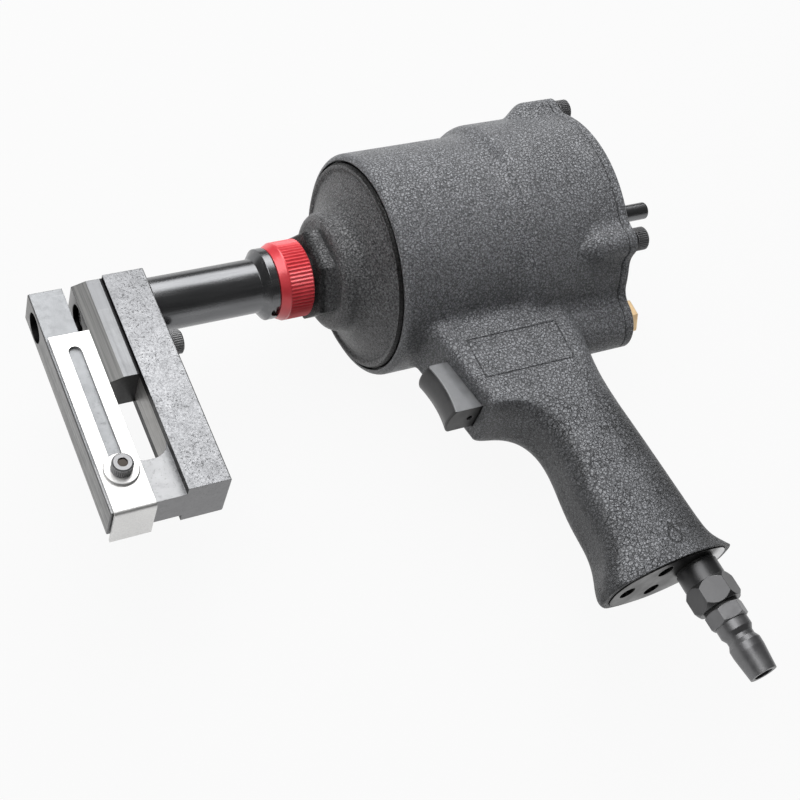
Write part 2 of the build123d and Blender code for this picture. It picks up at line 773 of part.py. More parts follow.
with BuildPart() as cylinder_housing:
    with BuildSketch(Plane.XY):
        with BuildLine():
            body_r = cylinder_diameter / 2
            step_x = seam + step_start
            half_step = (step_x + step_length / 2, (body_r + rear_r) / 2)
            Line((seam, 0), (seam, body_r - rim_round))
            rim = TangentArc((seam, body_r - rim_round), (seam + rim_round, body_r), tangent=(0, 1))
            Line(rim @ 1, (step_x, body_r))
            rise = TangentArc((step_x, body_r), half_step, tangent=(1, 0))
            TangentArc(half_step, (step_x + step_length, rear_r), tangent=rise % 1)
            Polyline((step_x + step_length, rear_r), (housing_back, rear_r), (housing_back, 0), (seam, 0))
        make_face()
    revolve(axis=Axis.X)
    loft([grip_section(*section) for section in block_sections], ruled=True)
    # The handle block runs into the barrel with a soft inside corner
    fillet(cylinder_housing.edges().filter_by(joins_barrel), junction_round)
    with BuildSketch(across(housing_back - lobe_length)):
        add(rear_outline(ears=False, sink=blend_sink))
    extrude(amount=lobe_length)
    with BuildSketch(across(housing_back - ear_length)):
        add(rear_outline(sink=blend_sink))
    extrude(amount=ear_length)
    # Each ear runs out into the barrel in a soft nose
    ear_rise = ear_r + ear_radius - rear_r
    nose_faces = []
    for step in range(ear_steps + 1):
        share = step / ear_steps
        nose = across(housing_back - ear_length - ear_slope * share)
        fall = ear_rise * (1 - cos(pi * share)) / 2
        nose_faces.append((nose * rear_outline(sink=blend_sink, ear_drop=fall)).face())
    loft(nose_faces)
    grip_faces = [grip_section(*section) for section in grip_sections]
    grip_faces.append((foot_plane() * foot_outline()).face())
    loft(grip_faces)

    # Hollow of the cylinder, stepped for the cap
    with BuildSketch(across(seam)):
        Circle(bore_r)
    extrude(amount=cylinder_length, mode=Mode.SUBTRACT)
    with BuildSketch(across(seam)):
        Circle(rim_r)
    extrude(amount=cap_thread + seam_play, mode=Mode.SUBTRACT)
    with BuildSketch(across(seam)):
        Circle(rim_r + seam_groove)
    extrude(amount=seam_groove_depth, mode=Mode.SUBTRACT)

    # Rear face: screw holes and the air chamber in the lower boss
    screw_depth = screw_length - cover_thickness - gasket_thickness - washer_height + 1.0
    with BuildSketch(across(housing_back)):
        with Locations(*ear_places()):
            Circle(m5[0] / 2 + thread_play)
    extrude(amount=-screw_depth, mode=Mode.SUBTRACT)
    with BuildSketch(across(housing_back, -lobe_drop)):
        Circle(chamber_diameter / 2)
    extrude(amount=-chamber_depth, mode=Mode.SUBTRACT)

    # Trigger pocket and valve bore in the front of the housing
    pocket_front = seam + 10.0
    trigger_front = seam + trigger_reach
    trigger_back = trigger_front + trigger_length
    pocket_back = trigger_back + trigger_travel + moving_gap
    with BuildSketch(across(pocket_front, -trigger_drop)):
        Rectangle(trigger_height + 2 * moving_gap, trigger_width + 2 * moving_gap)
    extrude(amount=pocket_back - pocket_front, mode=Mode.SUBTRACT)
    sleeve_back = pocket_back + gland_length + sleeve_length
    valve_end = sleeve_back + valve_spring_length
    with BuildSketch(across(pocket_back, -trigger_drop)):
        Circle(sleeve_diameter / 2 + thread_play)
    extrude(amount=gland_length + sleeve_length, mode=Mode.SUBTRACT)
    with BuildSketch(across(sleeve_back, -trigger_drop)):
        Circle(valve_spring_mean / 2 + valve_spring_wire)
    extrude(amount=valve_spring_length, mode=Mode.SUBTRACT)

    # Foot: plate recess, felt chamber, inlet thread and the passages up to the valve
    plate_seat = plate_thickness - plate_rise
    with BuildSketch(foot_plane()):
        add(foot_outline(2 * foot_ends, 2 * foot_rim))
    extrude(amount=-plate_seat, mode=Mode.SUBTRACT)
    felt_middle = -exhaust_front + felt_length / 2 - exhaust_hole / 2
    with BuildSketch(foot_plane(-plate_seat)):
        with Locations((felt_middle, 0)):
            RectangleRounded(felt_length, felt_width, felt_round)
    extrude(amount=-felt_thickness - felt_play, mode=Mode.SUBTRACT)
    with BuildSketch(foot_plane(-plate_seat)):
        with Locations((inlet_back, 0)):
            Circle(bush_thread / 2 + thread_play)
    extrude(amount=-bush_thread_length + plate_seat * 0.5, mode=Mode.SUBTRACT)

    # Shallow outline of a bare label panel on the left face
    label_x = seam + label_start + label_length / 2
    inner_length = label_length - 2 * label_line
    inner_height = label_height - 2 * label_line
    with BuildSketch(Plane.XY.offset(housing_width / 2)):
        with Locations((label_x, -label_drop)):
            RectangleRounded(label_length, label_height, label_round)
            RectangleRounded(inner_length, inner_height, label_round - label_line, mode=Mode.SUBTRACT)
    extrude(amount=-label_depth, mode=Mode.SUBTRACT)

# Rear cover, gasket, screws and the brass plug of the air chamber
with BuildPart() as cover_gasket:
    with BuildSketch(across(housing_back)):
        add(rear_outline(inset=gasket_inset))
        add(rear_outline(ears=False, inset=gasket_inset))
        Circle(bore_r, mode=Mode.SUBTRACT)
        with Locations((-lobe_drop, 0)):
            Circle(chamber_diameter / 2, mode=Mode.SUBTRACT)
        with Locations(*ear_places()):
            Circle(m5[0] / 2 + thread_play, mode=Mode.SUBTRACT)
    extrude(amount=gasket_thickness)

tail_bush_r = tail_diameter / 2 + running_play + bush_wall
cover_hub_back = cover_back + hub_cover_height
with BuildPart() as rear_cover:
    with BuildSketch(across(cover_front)):
        add(rear_outline())
        add(rear_outline(ears=False))
    extrude(amount=cover_thickness)
    cover_faces = rear_cover.faces().sort_by(Axis.X)
    chamfer(cover_faces[0].edges() + cover_faces[-1].edges(), rear_edge)
    with BuildSketch(across(cover_back)):
        Circle(hub_cover_diameter / 2)
    extrude(amount=hub_cover_height)
    chamfer(rear_cover.faces().sort_by(Axis.X)[-1].edges(), 1.0)
    with BuildSketch(across(cover_front)):
        Circle(tail_bush_r)
    extrude(amount=cover_thickness + hub_cover_height, mode=Mode.SUBTRACT)
    with BuildSketch(across(cover_front)):
        with Locations(*ear_places()):
            Circle(m5[0] / 2 + thread_play)
        with Locations((-lobe_drop, 0)):
            Circle(plug_thread / 2 + thread_play)
    extrude(amount=cover_thickness, mode=Mode.SUBTRACT)
    with BuildSketch(across(cover_front, -(lobe_drop + bore_r) / 2 + channel_width / 4)):
        SlotOverall(lobe_drop - bore_r + 2 * channel_width, channel_width)
    extrude(amount=channel_depth, mode=Mode.SUBTRACT)

with BuildPart() as cover_screws:
    for y, z in ear_places():
        with Locations(Plane(origin=(cover_back + washer_height, y, z), z_dir=(1, 0, 0))):
            add(cap_screw(m5, screw_length))

with BuildPart() as cover_washers:
    for y, z in ear_places():
        with Locations(Plane(origin=(cover_back, y, z), z_dir=(1, 0, 0))):
            add(spring_washer(m5[0], washer_wall, washer_height))

with BuildPart() as plug_washer:
    with BuildSketch(across(cover_back, -lobe_drop)):
        Circle(plug_flats / 2)
        Circle(plug_thread / 2 + thread_play, mode=Mode.SUBTRACT)
    extrude(amount=plug_washer_thickness)

with BuildPart() as chamber_plug:
    plug_seat = cover_back + plug_washer_thickness
    with BuildSketch(across(plug_seat, -lobe_drop)):
        RegularPolygon(hex_radius(plug_flats), 6)
    extrude(amount=plug_head)
    chamfer(chamber_plug.faces().sort_by(Axis.X)[-1].edges(), 0.8)
    with BuildSketch(across(plug_seat, -lobe_drop)):
        Circle(plug_thread / 2)
    extrude(amount=-plug_thread_length)

with BuildPart() as tail_bush:
    revolve(
        ring_profile(
            cover_front, cover_hub_back - tail_seal_length, tail_diameter / 2 + running_play, tail_bush_r
        ),
        axis=Axis.X,
    )

with BuildPart() as tail_seal:
    revolve(
        ring_profile(
            cover_hub_back - tail_seal_length, cover_hub_back, tail_diameter / 2 + running_play, tail_bush_r
        ),
        axis=Axis.X,
    )

# Piston, its rods, its seal and its spring
with BuildPart() as piston:
    piston_r = bore_r - piston_play
    groove_front = (piston_front + piston_back - seal_width) / 2
    revolve(
        outline(
            (piston_front, rod_neck / 2 + thread_play),
            (piston_front, pilot_diameter / 2),
            (piston_front + pilot_height, pilot_diameter / 2),
            (piston_front + pilot_height, piston_r),
            (groove_front, piston_r),
            (groove_front, bore_r - seal_depth),
            (groove_front + seal_width, bore_r - seal_depth),
            (groove_front + seal_width, piston_r),
            (piston_back, piston_r),
            (piston_back, nut_pocket / 2),
            (piston_back - nut_pocket_depth, nut_pocket / 2),
            (piston_back - nut_pocket_depth, rod_neck / 2 + thread_play),
        ),
        axis=Axis.X,
    )

with BuildPart() as piston_seal:
    revolve(
        ring_profile(groove_front, groove_front + seal_width, bore_r - seal_depth, bore_r - running_play),
        axis=Axis.X,
    )
    chamfer(piston_seal.edges().filter_by(GeomType.CIRCLE).sort_by(SortBy.RADIUS)[-2:], 0.5)

with BuildPart() as piston_rod:
    nut_front = piston_back - nut_pocket_depth
    rod_back = nut_front + nut_height + 1.0
    revolve(
        outline(
            (rod_front, punch_thread / 2 + thread_play),
            (rod_front, rod_diameter / 2),
            (piston_front, rod_diameter / 2),
            (piston_front, rod_neck / 2),
            (rod_back, rod_neck / 2),
            (rod_back, tail_spigot / 2 + thread_play),
            (rod_back - tail_spigot_length, tail_spigot / 2 + thread_play),
            (rod_back - tail_spigot_length, 0),
            (rod_front + punch_thread_length, 0),
            (rod_front + punch_thread_length, punch_thread / 2 + thread_play),
        ),
        axis=Axis.X,
    )

with BuildPart() as piston_nut:
    with BuildSketch(across(nut_front)):
        RegularPolygon(hex_radius(nut_flats), 6)
        Circle(rod_neck / 2 + thread_play, mode=Mode.SUBTRACT)
    extrude(amount=nut_height)

with BuildPart() as tail_rod:
    tail_back = rod_back + tail_length
    revolve(
        outline(
            (rod_back - tail_spigot_length + 0.5, 0),
            (rod_back - tail_spigot_length + 0.5, tail_spigot / 2),
            (rod_back, tail_spigot / 2),
            (rod_back, tail_diameter / 2),
            (tail_back, tail_diameter / 2),
            (tail_back, 0),
        ),
        axis=Axis.X,
    )
    fillet(tail_rod.edges().sort_by(Axis.X)[-1], 0.8)

with BuildPart() as return_spring:
    add(coil(cap_inside, piston_front + pilot_height, spring_mean, spring_wire, spring_turns))

with BuildPart() as punch:
    shoulder = tip_front + tip_length
    shank_r = line_bore / 2 - running_play
    revolve(
        outline(
            (tip_front, 0),
            (tip_front, tip_diameter / 2),
            (shoulder, tip_diameter / 2),
            (shoulder, shank_r),
            (punch_back, shank_r),
            (punch_back, punch_thread / 2),
            (rod_front + punch_thread_length - 0.5, punch_thread / 2),
            (rod_front + punch_thread_length - 0.5, 0),
        ),
        axis=Axis.X,
    )

with BuildPart() as punch_lock_nut:
    with BuildSketch(across(punch_back)):
        RegularPolygon(hex_radius(lock_nut_flats), 6)
        Circle(punch_thread / 2 + thread_play, mode=Mode.SUBTRACT)
    extrude(amount=lock_nut_height)

# Trigger with its pin, stem, valve sleeve, seals and spring
with BuildPart() as trigger:
    for share, hollow in ((0.0, 0.0), (0.5, trigger_hollow), (1.0, 0.0)):
        y = -trigger_drop + trigger_height * (0.5 - share)
        face_x = trigger_front + trigger_bulge + trigger_lean * (share - 0.5) + hollow
        half = trigger_width / 2
        with BuildSketch(Plane(origin=(0, y, 0), x_dir=(1, 0, 0), z_dir=(0, -1, 0))):
            with BuildLine():
                ThreePointArc((face_x, -half), (face_x - trigger_bulge, 0), (face_x, half))
                Polyline((face_x, half), (trigger_back, half), (trigger_back, -half), (face_x, -half))
            make_face()
    loft()
    fillet(trigger.faces().sort_by(Axis.X)[0].edges(), trigger_edge)
    with BuildSketch(across(trigger_back, -trigger_drop)):
        Circle(stem_diameter / 2 + thread_play)
    extrude(amount=-2 * pin_back, mode=Mode.SUBTRACT)
    pin_x = trigger_back - pin_back
    pin_low = -trigger_drop - trigger_height / 2
    with BuildSketch(Plane(origin=(pin_x, pin_low, 0), x_dir=(1, 0, 0), z_dir=(0, 1, 0))):
        Circle(pin_diameter / 2)
    extrude(amount=trigger_height - pin_inset, mode=Mode.SUBTRACT)

with BuildPart() as trigger_pin:
    with BuildSketch(Plane(origin=(pin_x, pin_low + pin_inset, 0), x_dir=(1, 0, 0), z_dir=(0, 1, 0))):
        Circle(pin_diameter / 2)
    extrude(amount=trigger_height - 2 * pin_inset)


def valve_ring(x_low, x_high, r_low, r_high):
    """Plain ring about the valve's own axis."""
    with BuildPart() as ring:
        with BuildSketch(across(x_low, -trigger_drop)):
            Circle(r_high)
            if r_low > 0:
                Circle(r_low, mode=Mode.SUBTRACT)
        extrude(amount=x_high - x_low)
    return ring.part


def valve_seal(x, r_low, r_high):
    """Square-section seal about the valve's own axis, in the groove at a station."""
    half = o_ring * 0.65 - seal_slack
    return valve_ring(x - half, x + half, r_low, r_high)


gland_back = pocket_back + gland_length
land_r = stem_land / 2
stem_back = sleeve_back - trigger_travel - 1.0
stem_seal_x = [stem_back - 4.0, stem_back - 16.0]
groove_r = land_r - o_ring
with BuildPart() as valve_stem:
    add(valve_ring(pin_x - pin_back + 0.5, gland_back + 6.0, 0, stem_diameter / 2))
    add(valve_ring(gland_back + 6.0, stem_back - 20.0, 0, stem_diameter / 2))
    add(valve_ring(stem_back - 20.0, stem_back, 0, land_r))
    for x in stem_seal_x:
        groove = valve_ring(x - o_ring * 0.65, x + o_ring * 0.65, groove_r, land_r + 1.0)
        add(groove, mode=Mode.SUBTRACT)
    with BuildSketch(Plane(origin=(pin_x, pin_low, 0), x_dir=(1, 0, 0), z_dir=(0, 1, 0))):
        Circle(pin_diameter / 2)
    extrude(amount=trigger_height, mode=Mode.SUBTRACT)

with BuildPart() as stem_seals:
    for x in stem_seal_x:
        add(valve_seal(x, groove_r + o_ring_play, land_r + o_ring_play))

with BuildPart() as valve_gland:
    add(valve_ring(pocket_back, gland_back, stem_diameter / 2 + running_play, sleeve_diameter / 2))

sleeve_seal_x = [gland_back + 3.0, sleeve_back - 3.0]
sleeve_groove = sleeve_diameter / 2 - o_ring
with BuildPart() as valve_sleeve:
    add(valve_ring(gland_back, sleeve_back, land_r + 2 * o_ring_play, sleeve_diameter / 2))
    for x in sleeve_seal_x:
        groove = valve_ring(x - o_ring * 0.65, x + o_ring * 0.65, sleeve_groove, sleeve_diameter)
        add(groove, mode=Mode.SUBTRACT)
    for x in (gland_back + sleeve_length * 0.35, gland_back + sleeve_length * 0.65):
        with BuildSketch(Plane(origin=(x, -trigger_drop, 0), x_dir=(1, 0, 0), z_dir=(0, 1, 0))):
            Circle(sleeve_port / 2)
        extrude(amount=sleeve_diameter, both=True, mode=Mode.SUBTRACT)

with BuildPart() as sleeve_seals:
    for x in sleeve_seal_x:
        add(valve_seal(x, sleeve_groove + o_ring_play, sleeve_diameter / 2))

with BuildPart() as valve_spring:
    spring = coil(stem_back, valve_end, valve_spring_mean, valve_spring_wire, valve_spring_turns)
    with Locations((0, -trigger_drop, 0)):
        add(spring)

# Foot of the grip: plate, felt, inlet bush with its seal and screen, and the coupling plug
with BuildPart() as base_plate:
    with BuildSketch(foot_plane(-plate_seat)):
        add(foot_outline(2 * foot_ends + 2 * plate_play, 2 * foot_rim + 2 * plate_play))
        with Locations(
            (-exhaust_front, 0),
            (-exhaust_pair_back, exhaust_pair_half),
            (-exhaust_pair_back, -exhaust_pair_half),
        ):
            Circle(exhaust_hole / 2, mode=Mode.SUBTRACT)
        with Locations((inlet_back, 0)):
            Circle(bush_thread / 2 + thread_play, mode=Mode.SUBTRACT)
    extrude(amount=plate_thickness)

with BuildPart() as exhaust_felt:
    with BuildSketch(foot_plane(-plate_seat)):
        with Locations((felt_middle, 0)):
            RectangleRounded(felt_length - 2 * felt_play, felt_width - 2 * felt_play, felt_round - felt_play)
    extrude(amount=-felt_thickness)



def inlet_plane(depth):
    """Plane square to the inlet's axis at a depth below the foot, with its origin on that axis."""
    foot = foot_plane(depth)
    return Plane(origin=foot.from_local_coords(Vector(inlet_back, 0, 0)), x_dir=foot.x_dir, z_dir=foot.z_dir)


plate_out = plate_rise
bush_out = plate_out + inlet_seal_height
with BuildPart() as inlet_seal:
    with BuildSketch(foot_plane(plate_out)):
        with Locations((inlet_back, 0)):
            Circle(bush_diameter / 2 - 0.5)
            Circle(bush_thread / 2 + thread_play, mode=Mode.SUBTRACT)
    extrude(amount=inlet_seal_height)

with BuildPart() as inlet_bush:
    with BuildSketch(foot_plane(bush_out)):
        with Locations((inlet_back, 0)):
            Circle(bush_diameter / 2)
    extrude(amount=bush_neck)
    hex_out = bush_out + bush_neck
    with Locations(inlet_plane(hex_out)):
        add(crowned_hex(bush_hex_flats, bush_hex_height, bush_crown, bush_hex_turn))
    thread_in = -bush_thread_length
    with BuildSketch(foot_plane(thread_in)):
        with Locations((inlet_back, 0)):
            Circle(bush_thread / 2)
    extrude(amount=bush_out - thread_in)
    bush_end = hex_out + bush_hex_height
    with BuildSketch(foot_plane(thread_in)):
        with Locations((inlet_back, 0)):
            Circle(bush_bore / 2)
    extrude(amount=bush_end - thread_in, mode=Mode.SUBTRACT)
    with BuildSketch(foot_plane(bush_end)):
        with Locations((inlet_back, 0)):
            Circle(coupling_thread / 2 + thread_play)
    extrude(amount=-coupling_thread_length, mode=Mode.SUBTRACT)

with BuildPart() as plug_seal:
    with BuildSketch(foot_plane(bush_end)):
        with Locations((inlet_back, 0)):
            Circle(coupling_flats / 2)
            Circle(coupling_thread / 2 + thread_play, mode=Mode.SUBTRACT)
    extrude(amount=plug_gap)

with BuildPart() as inlet_screen:
    screen_r = bush_bore / 2 - thread_play
    with BuildSketch(foot_plane(thread_in)):
        with Locations((inlet_back, 0)):
            Circle(screen_r)
            Circle(screen_r - screen_wall, mode=Mode.SUBTRACT)
    extrude(amount=screen_length)
    with BuildSketch(foot_plane(thread_in)):
        with Locations((inlet_back, 0)):
            Circle(screen_r - screen_wall)
            with GridLocations(2.2, 2.2, 2, 2):
                Circle(0.6, mode=Mode.SUBTRACT)
    extrude(amount=screen_wall)

# The coupling plug is turned about its own axis, so its outline runs down the foot's normal
with BuildPart() as air_plug:
    coupling_start = bush_end + plug_gap
    with Locations(inlet_plane(coupling_start)):
        add(crowned_hex(coupling_flats, coupling_hex_height, coupling_crown, coupling_hex_turn))
    axis_point = inlet_plane(0).origin
    plug_side = Plane(origin=axis_point, x_dir=foot_plane().x_dir, z_dir=(0, 0, -1))
    stations = [(coupling_start + coupling_hex_height, 0.0)]
    for length, diameter in (
        (0.0, coupling_neck_diameter),
        (coupling_neck, coupling_neck_diameter),
        (coupling_flank, coupling_groove_diameter),
        (coupling_groove, coupling_groove_diameter),
        (coupling_flank, coupling_shoulder_diameter),
        (coupling_shoulder, coupling_shoulder_diameter),
        (coupling_taper, coupling_tip_diameter),
        (0.0, 0.0),
    ):
        stations.append((stations[-1][0] + length, diameter / 2))
    with BuildSketch(plug_side):
        with BuildLine():
            Polyline(*[(radius, down) for down, radius in stations], close=True)
        make_face()
    revolve(axis=Axis(axis_point, foot_plane().z_dir))
    coupling_end = stations[-1][0]
    with BuildSketch(foot_plane(coupling_start)):
        with Locations((inlet_back, 0)):
            Circle(coupling_thread / 2)
    extrude(amount=-coupling_thread_length + 0.5)
    with BuildSketch(foot_plane(coupling_end)):
        with Locations((inlet_back, 0)):
            Circle(coupling_bore / 2)
    extrude(amount=-(coupling_end - coupling_start + coupling_thread_length), mode=Mode.SUBTRACT)

pieces = {
    "c_frame": c_frame,
    "punch_guide": punch_guide,
    "guide_screw": guide_screw,
    "guide_washer": guide_washer,
    "die_bush": die_bush,
    "stop_plate": stop_plate,
    "stop_washer": stop_washer,
    "stop_screw": stop_screw,
    "barrel_tube": barrel_tube,
    "lock_ring": lock_ring,
    "front_cap": front_cap,
    "cap_seal": cap_seal,
    "rod_bush": rod_bush,
    "rod_seal": rod_seal,
    "stop_bumper": stop_bumper,
    "cylinder_housing": cylinder_housing,
    "cover_gasket": cover_gasket,
    "rear_cover": rear_cover,
    "cover_screws": cover_screws,
    "cover_washers": cover_washers,
    "chamber_plug": chamber_plug,
    "plug_washer": plug_washer,
    "tail_bush": tail_bush,
    "tail_seal": tail_seal,
    "piston": piston,
    "piston_seal": piston_seal,
    "piston_rod": piston_rod,
    "piston_nut": piston_nut,
    "tail_rod": tail_rod,
    "return_spring": return_spring,
    "punch": punch,
    "punch_lock_nut": punch_lock_nut,
    "trigger": trigger,
    "trigger_pin": trigger_pin,
    "valve_stem": valve_stem,
    "stem_seals": stem_seals,
    "valve_gland": valve_gland,
    "valve_sleeve": valve_sleeve,
    "sleeve_seals": sleeve_seals,
    "valve_spring": valve_spring,
    "base_plate": base_plate,
    "exhaust_felt": exhaust_felt,
    "inlet_bush": inlet_bush,
    "inlet_seal": inlet_seal,
    "inlet_screen": inlet_screen,
    "plug_seal": plug_seal,
    "air_plug": air_plug,
}
os.makedirs("parts", exist_ok=True)
for name, piece in pieces.items():
    piece.part.label = name
    export_step(piece.part, f"parts/{name}.step")
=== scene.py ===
import bpy
import json
import math
from mathutils import Matrix, Vector

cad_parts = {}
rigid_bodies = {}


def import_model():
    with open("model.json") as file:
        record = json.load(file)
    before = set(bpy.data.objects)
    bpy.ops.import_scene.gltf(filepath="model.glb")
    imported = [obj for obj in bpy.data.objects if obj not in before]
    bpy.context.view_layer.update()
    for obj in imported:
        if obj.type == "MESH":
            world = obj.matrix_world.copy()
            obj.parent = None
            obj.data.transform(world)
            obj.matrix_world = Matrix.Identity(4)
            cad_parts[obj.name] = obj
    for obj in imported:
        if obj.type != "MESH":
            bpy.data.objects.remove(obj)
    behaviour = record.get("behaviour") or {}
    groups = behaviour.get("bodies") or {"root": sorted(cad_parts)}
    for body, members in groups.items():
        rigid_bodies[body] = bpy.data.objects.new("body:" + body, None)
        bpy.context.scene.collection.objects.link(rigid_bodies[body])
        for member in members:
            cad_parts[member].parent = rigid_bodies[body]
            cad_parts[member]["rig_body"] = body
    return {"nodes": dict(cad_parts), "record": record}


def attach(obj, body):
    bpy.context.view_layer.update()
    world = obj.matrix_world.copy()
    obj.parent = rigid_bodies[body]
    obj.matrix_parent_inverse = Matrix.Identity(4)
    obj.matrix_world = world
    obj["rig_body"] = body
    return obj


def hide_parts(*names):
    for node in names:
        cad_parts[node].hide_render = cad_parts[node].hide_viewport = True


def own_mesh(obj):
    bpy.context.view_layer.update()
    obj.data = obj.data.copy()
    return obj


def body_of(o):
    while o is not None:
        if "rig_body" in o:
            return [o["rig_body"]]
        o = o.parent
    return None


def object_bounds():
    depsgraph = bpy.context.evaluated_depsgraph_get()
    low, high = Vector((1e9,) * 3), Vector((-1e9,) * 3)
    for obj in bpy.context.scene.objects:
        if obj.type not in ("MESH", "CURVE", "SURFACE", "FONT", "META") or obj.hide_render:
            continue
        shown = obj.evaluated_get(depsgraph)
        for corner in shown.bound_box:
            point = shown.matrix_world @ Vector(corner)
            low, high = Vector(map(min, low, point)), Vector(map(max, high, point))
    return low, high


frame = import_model()
bounds_at_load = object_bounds()
nodes = frame["nodes"]
scene = bpy.context.scene
MM = 0.001

# Camera fitted to the photograph: its right, up and back directions, its place and its lens
CAMERA_RIGHT = (0.882399, -0.397787, 0.251274)
CAMERA_UP = (0.209122, 0.809984, 0.547899)
CAMERA_BACK = (-0.421475, -0.430919, 0.797915)
CAMERA_PLACE = (-132.18 * MM, -301.18 * MM, 445.99 * MM)
CAMERA_LENS = 70.107
CAMERA_SENSOR = 36.0

# Near and far limits of what the camera sees, in metres
CAMERA_CLIP = (0.01, 500.0)

# Middle range of a noise, which spreads over most of its surface
NOISE_RANGE = (0.3, 0.7)

# Facing along an axis at which a face starts and ends to count as turned that way
FACING_RANGE = (0.5, 0.8)

# Facing to the tool's left at which a drawn line starts and ends to show
DRAWN_RANGE = (0.3, 0.5)

# Height at which the guide's flanks change from bright to dull
GUIDE_BREAK = -3.3 * MM

# Top of the bridge that joins the frame's two legs
BRIDGE_TOP = -62.0 * MM

# Just over the radius of the hole that the punch works through, in which the steel is darkened with painted
# shade
PUNCH_HOLE = 5.6 * MM

# Painted shadow along the guide where it meets the frame
GUIDE_SEAM = 13.3 * MM

# Where the front cap's hub, darkened with painted shade, and the hexagon in front of it, made paler with
# painted light, end along the tool
HUB_END = 92.0 * MM
HEX_END = 81.5 * MM

# Painted shadow in the seam between cap and housing: the cap's edge, the housing's rim and how deep the rim
# goes
CAP_EDGE = 38.4 * MM
RIM_EDGE = 40.0 * MM
RIM_BACK = 112.5 * MM

# Where the handle begins below the housing, and how far down its paint takes to crack fully
HANDLE_TOP = -60.0 * MM
HANDLE_FADE = 40.0 * MM

# Line of the handle's back edge, along which painted shade darkens the paint: its place along the tool at no
# height, and its lean with height
GRIP_BACK = 172.4 * MM
GRIP_LEAN = -0.10

# Painted reflection on the base plate's back end, from where it starts to where it is full
REFLECTION_SPAN = (183.0 * MM, 189.0 * MM)

# Groove round the bare label panel: the middle of the panel, half its sides and the line's reach
PANEL_MIDDLE = (150.5 * MM, -58.5 * MM)
PANEL_HALF = (18.85 * MM, 8.35 * MM)
PANEL_LINE = 0.36 * MM

# Outline of a droplet pressed into the paint by the foot
DROPLET_MIDDLE = (169.5 * MM, -145.0 * MM)
DROPLET_RADIUS = 2.5 * MM
DROPLET_TIP = 5.4 * MM
DROPLET_LINE = 0.6 * MM

# Axis of the stop's screw and the reach of its socket, which is darkened with painted shade
STOP_SCREW = (-3.85 * MM, -66.0 * MM)
STOP_SOCKET = 1.72 * MM

# Knurled screw heads: diameter, height, chamfered share of the diameter and number of teeth
HEAD_M4 = (7.0 * MM, 4.0 * MM, 0.06, 32)
HEAD_M5 = (8.5 * MM, 5.0 * MM, 0.06, 34)
TOOTH = 0.18 * MM
TOOTH_PLAY = 0.01 * MM
TOOTH_START = 0.15 * MM
TOOTH_STEPS = 4

# Springs: node, joint, fixed end, moving end and travel along the tool
SPRINGS = (
    ("return_spring", "piston_stroke", 117.0 * MM, 179.0 * MM, 9.0 * MM),
    ("valve_spring", "trigger_pull", 181.6 * MM, 166.6 * MM, 4.0 * MM),
)

# Shoulder of the frame beside the guide, blackened with painted shadow: its place along the tool and where
# it starts off the middle
SHOULDER_X = 14.2 * MM
SHOULDER_HALF = 6.6 * MM

# Floor: its depth under the tool, half its side in metres, its grey and the share of white that the eye sees
FLOOR_DROP = 0.4 * MM
FLOOR_HALF = 100.0
FLOOR_GREY = (0.42, 0.42, 0.42)
FLOOR_WHITE = 0.93
WORLD_LIGHT = 0.05

# Lamps: name, direction from the tool's middle, distance, width, height share of the width and power
LAMP_MIDDLE = (0.10, -0.06, 0.0)
LAMPS = (
    ("key", (-0.30, 0.27, 0.915), 1.2, 1.2, 0.80, 13.5),
    ("sheen", (0.27, 0.66, 0.69), 1.2, 0.80, 1.0, 8.5),
    ("strip", (0.25, -1.0, 0.16), 1.1, 1.2, 0.09, 0.3),
)


def add_camera():
    data = bpy.data.cameras.new("camera")
    data.lens = CAMERA_LENS
    data.sensor_width = CAMERA_SENSOR
    data.clip_start, data.clip_end = CAMERA_CLIP
    camera = bpy.data.objects.new("camera", data)
    scene.collection.objects.link(camera)
    turn = Matrix((CAMERA_RIGHT, CAMERA_UP, CAMERA_BACK)).transposed()
    camera.matrix_world = Matrix.Translation(CAMERA_PLACE) @ turn.to_4x4()
    scene.camera = camera


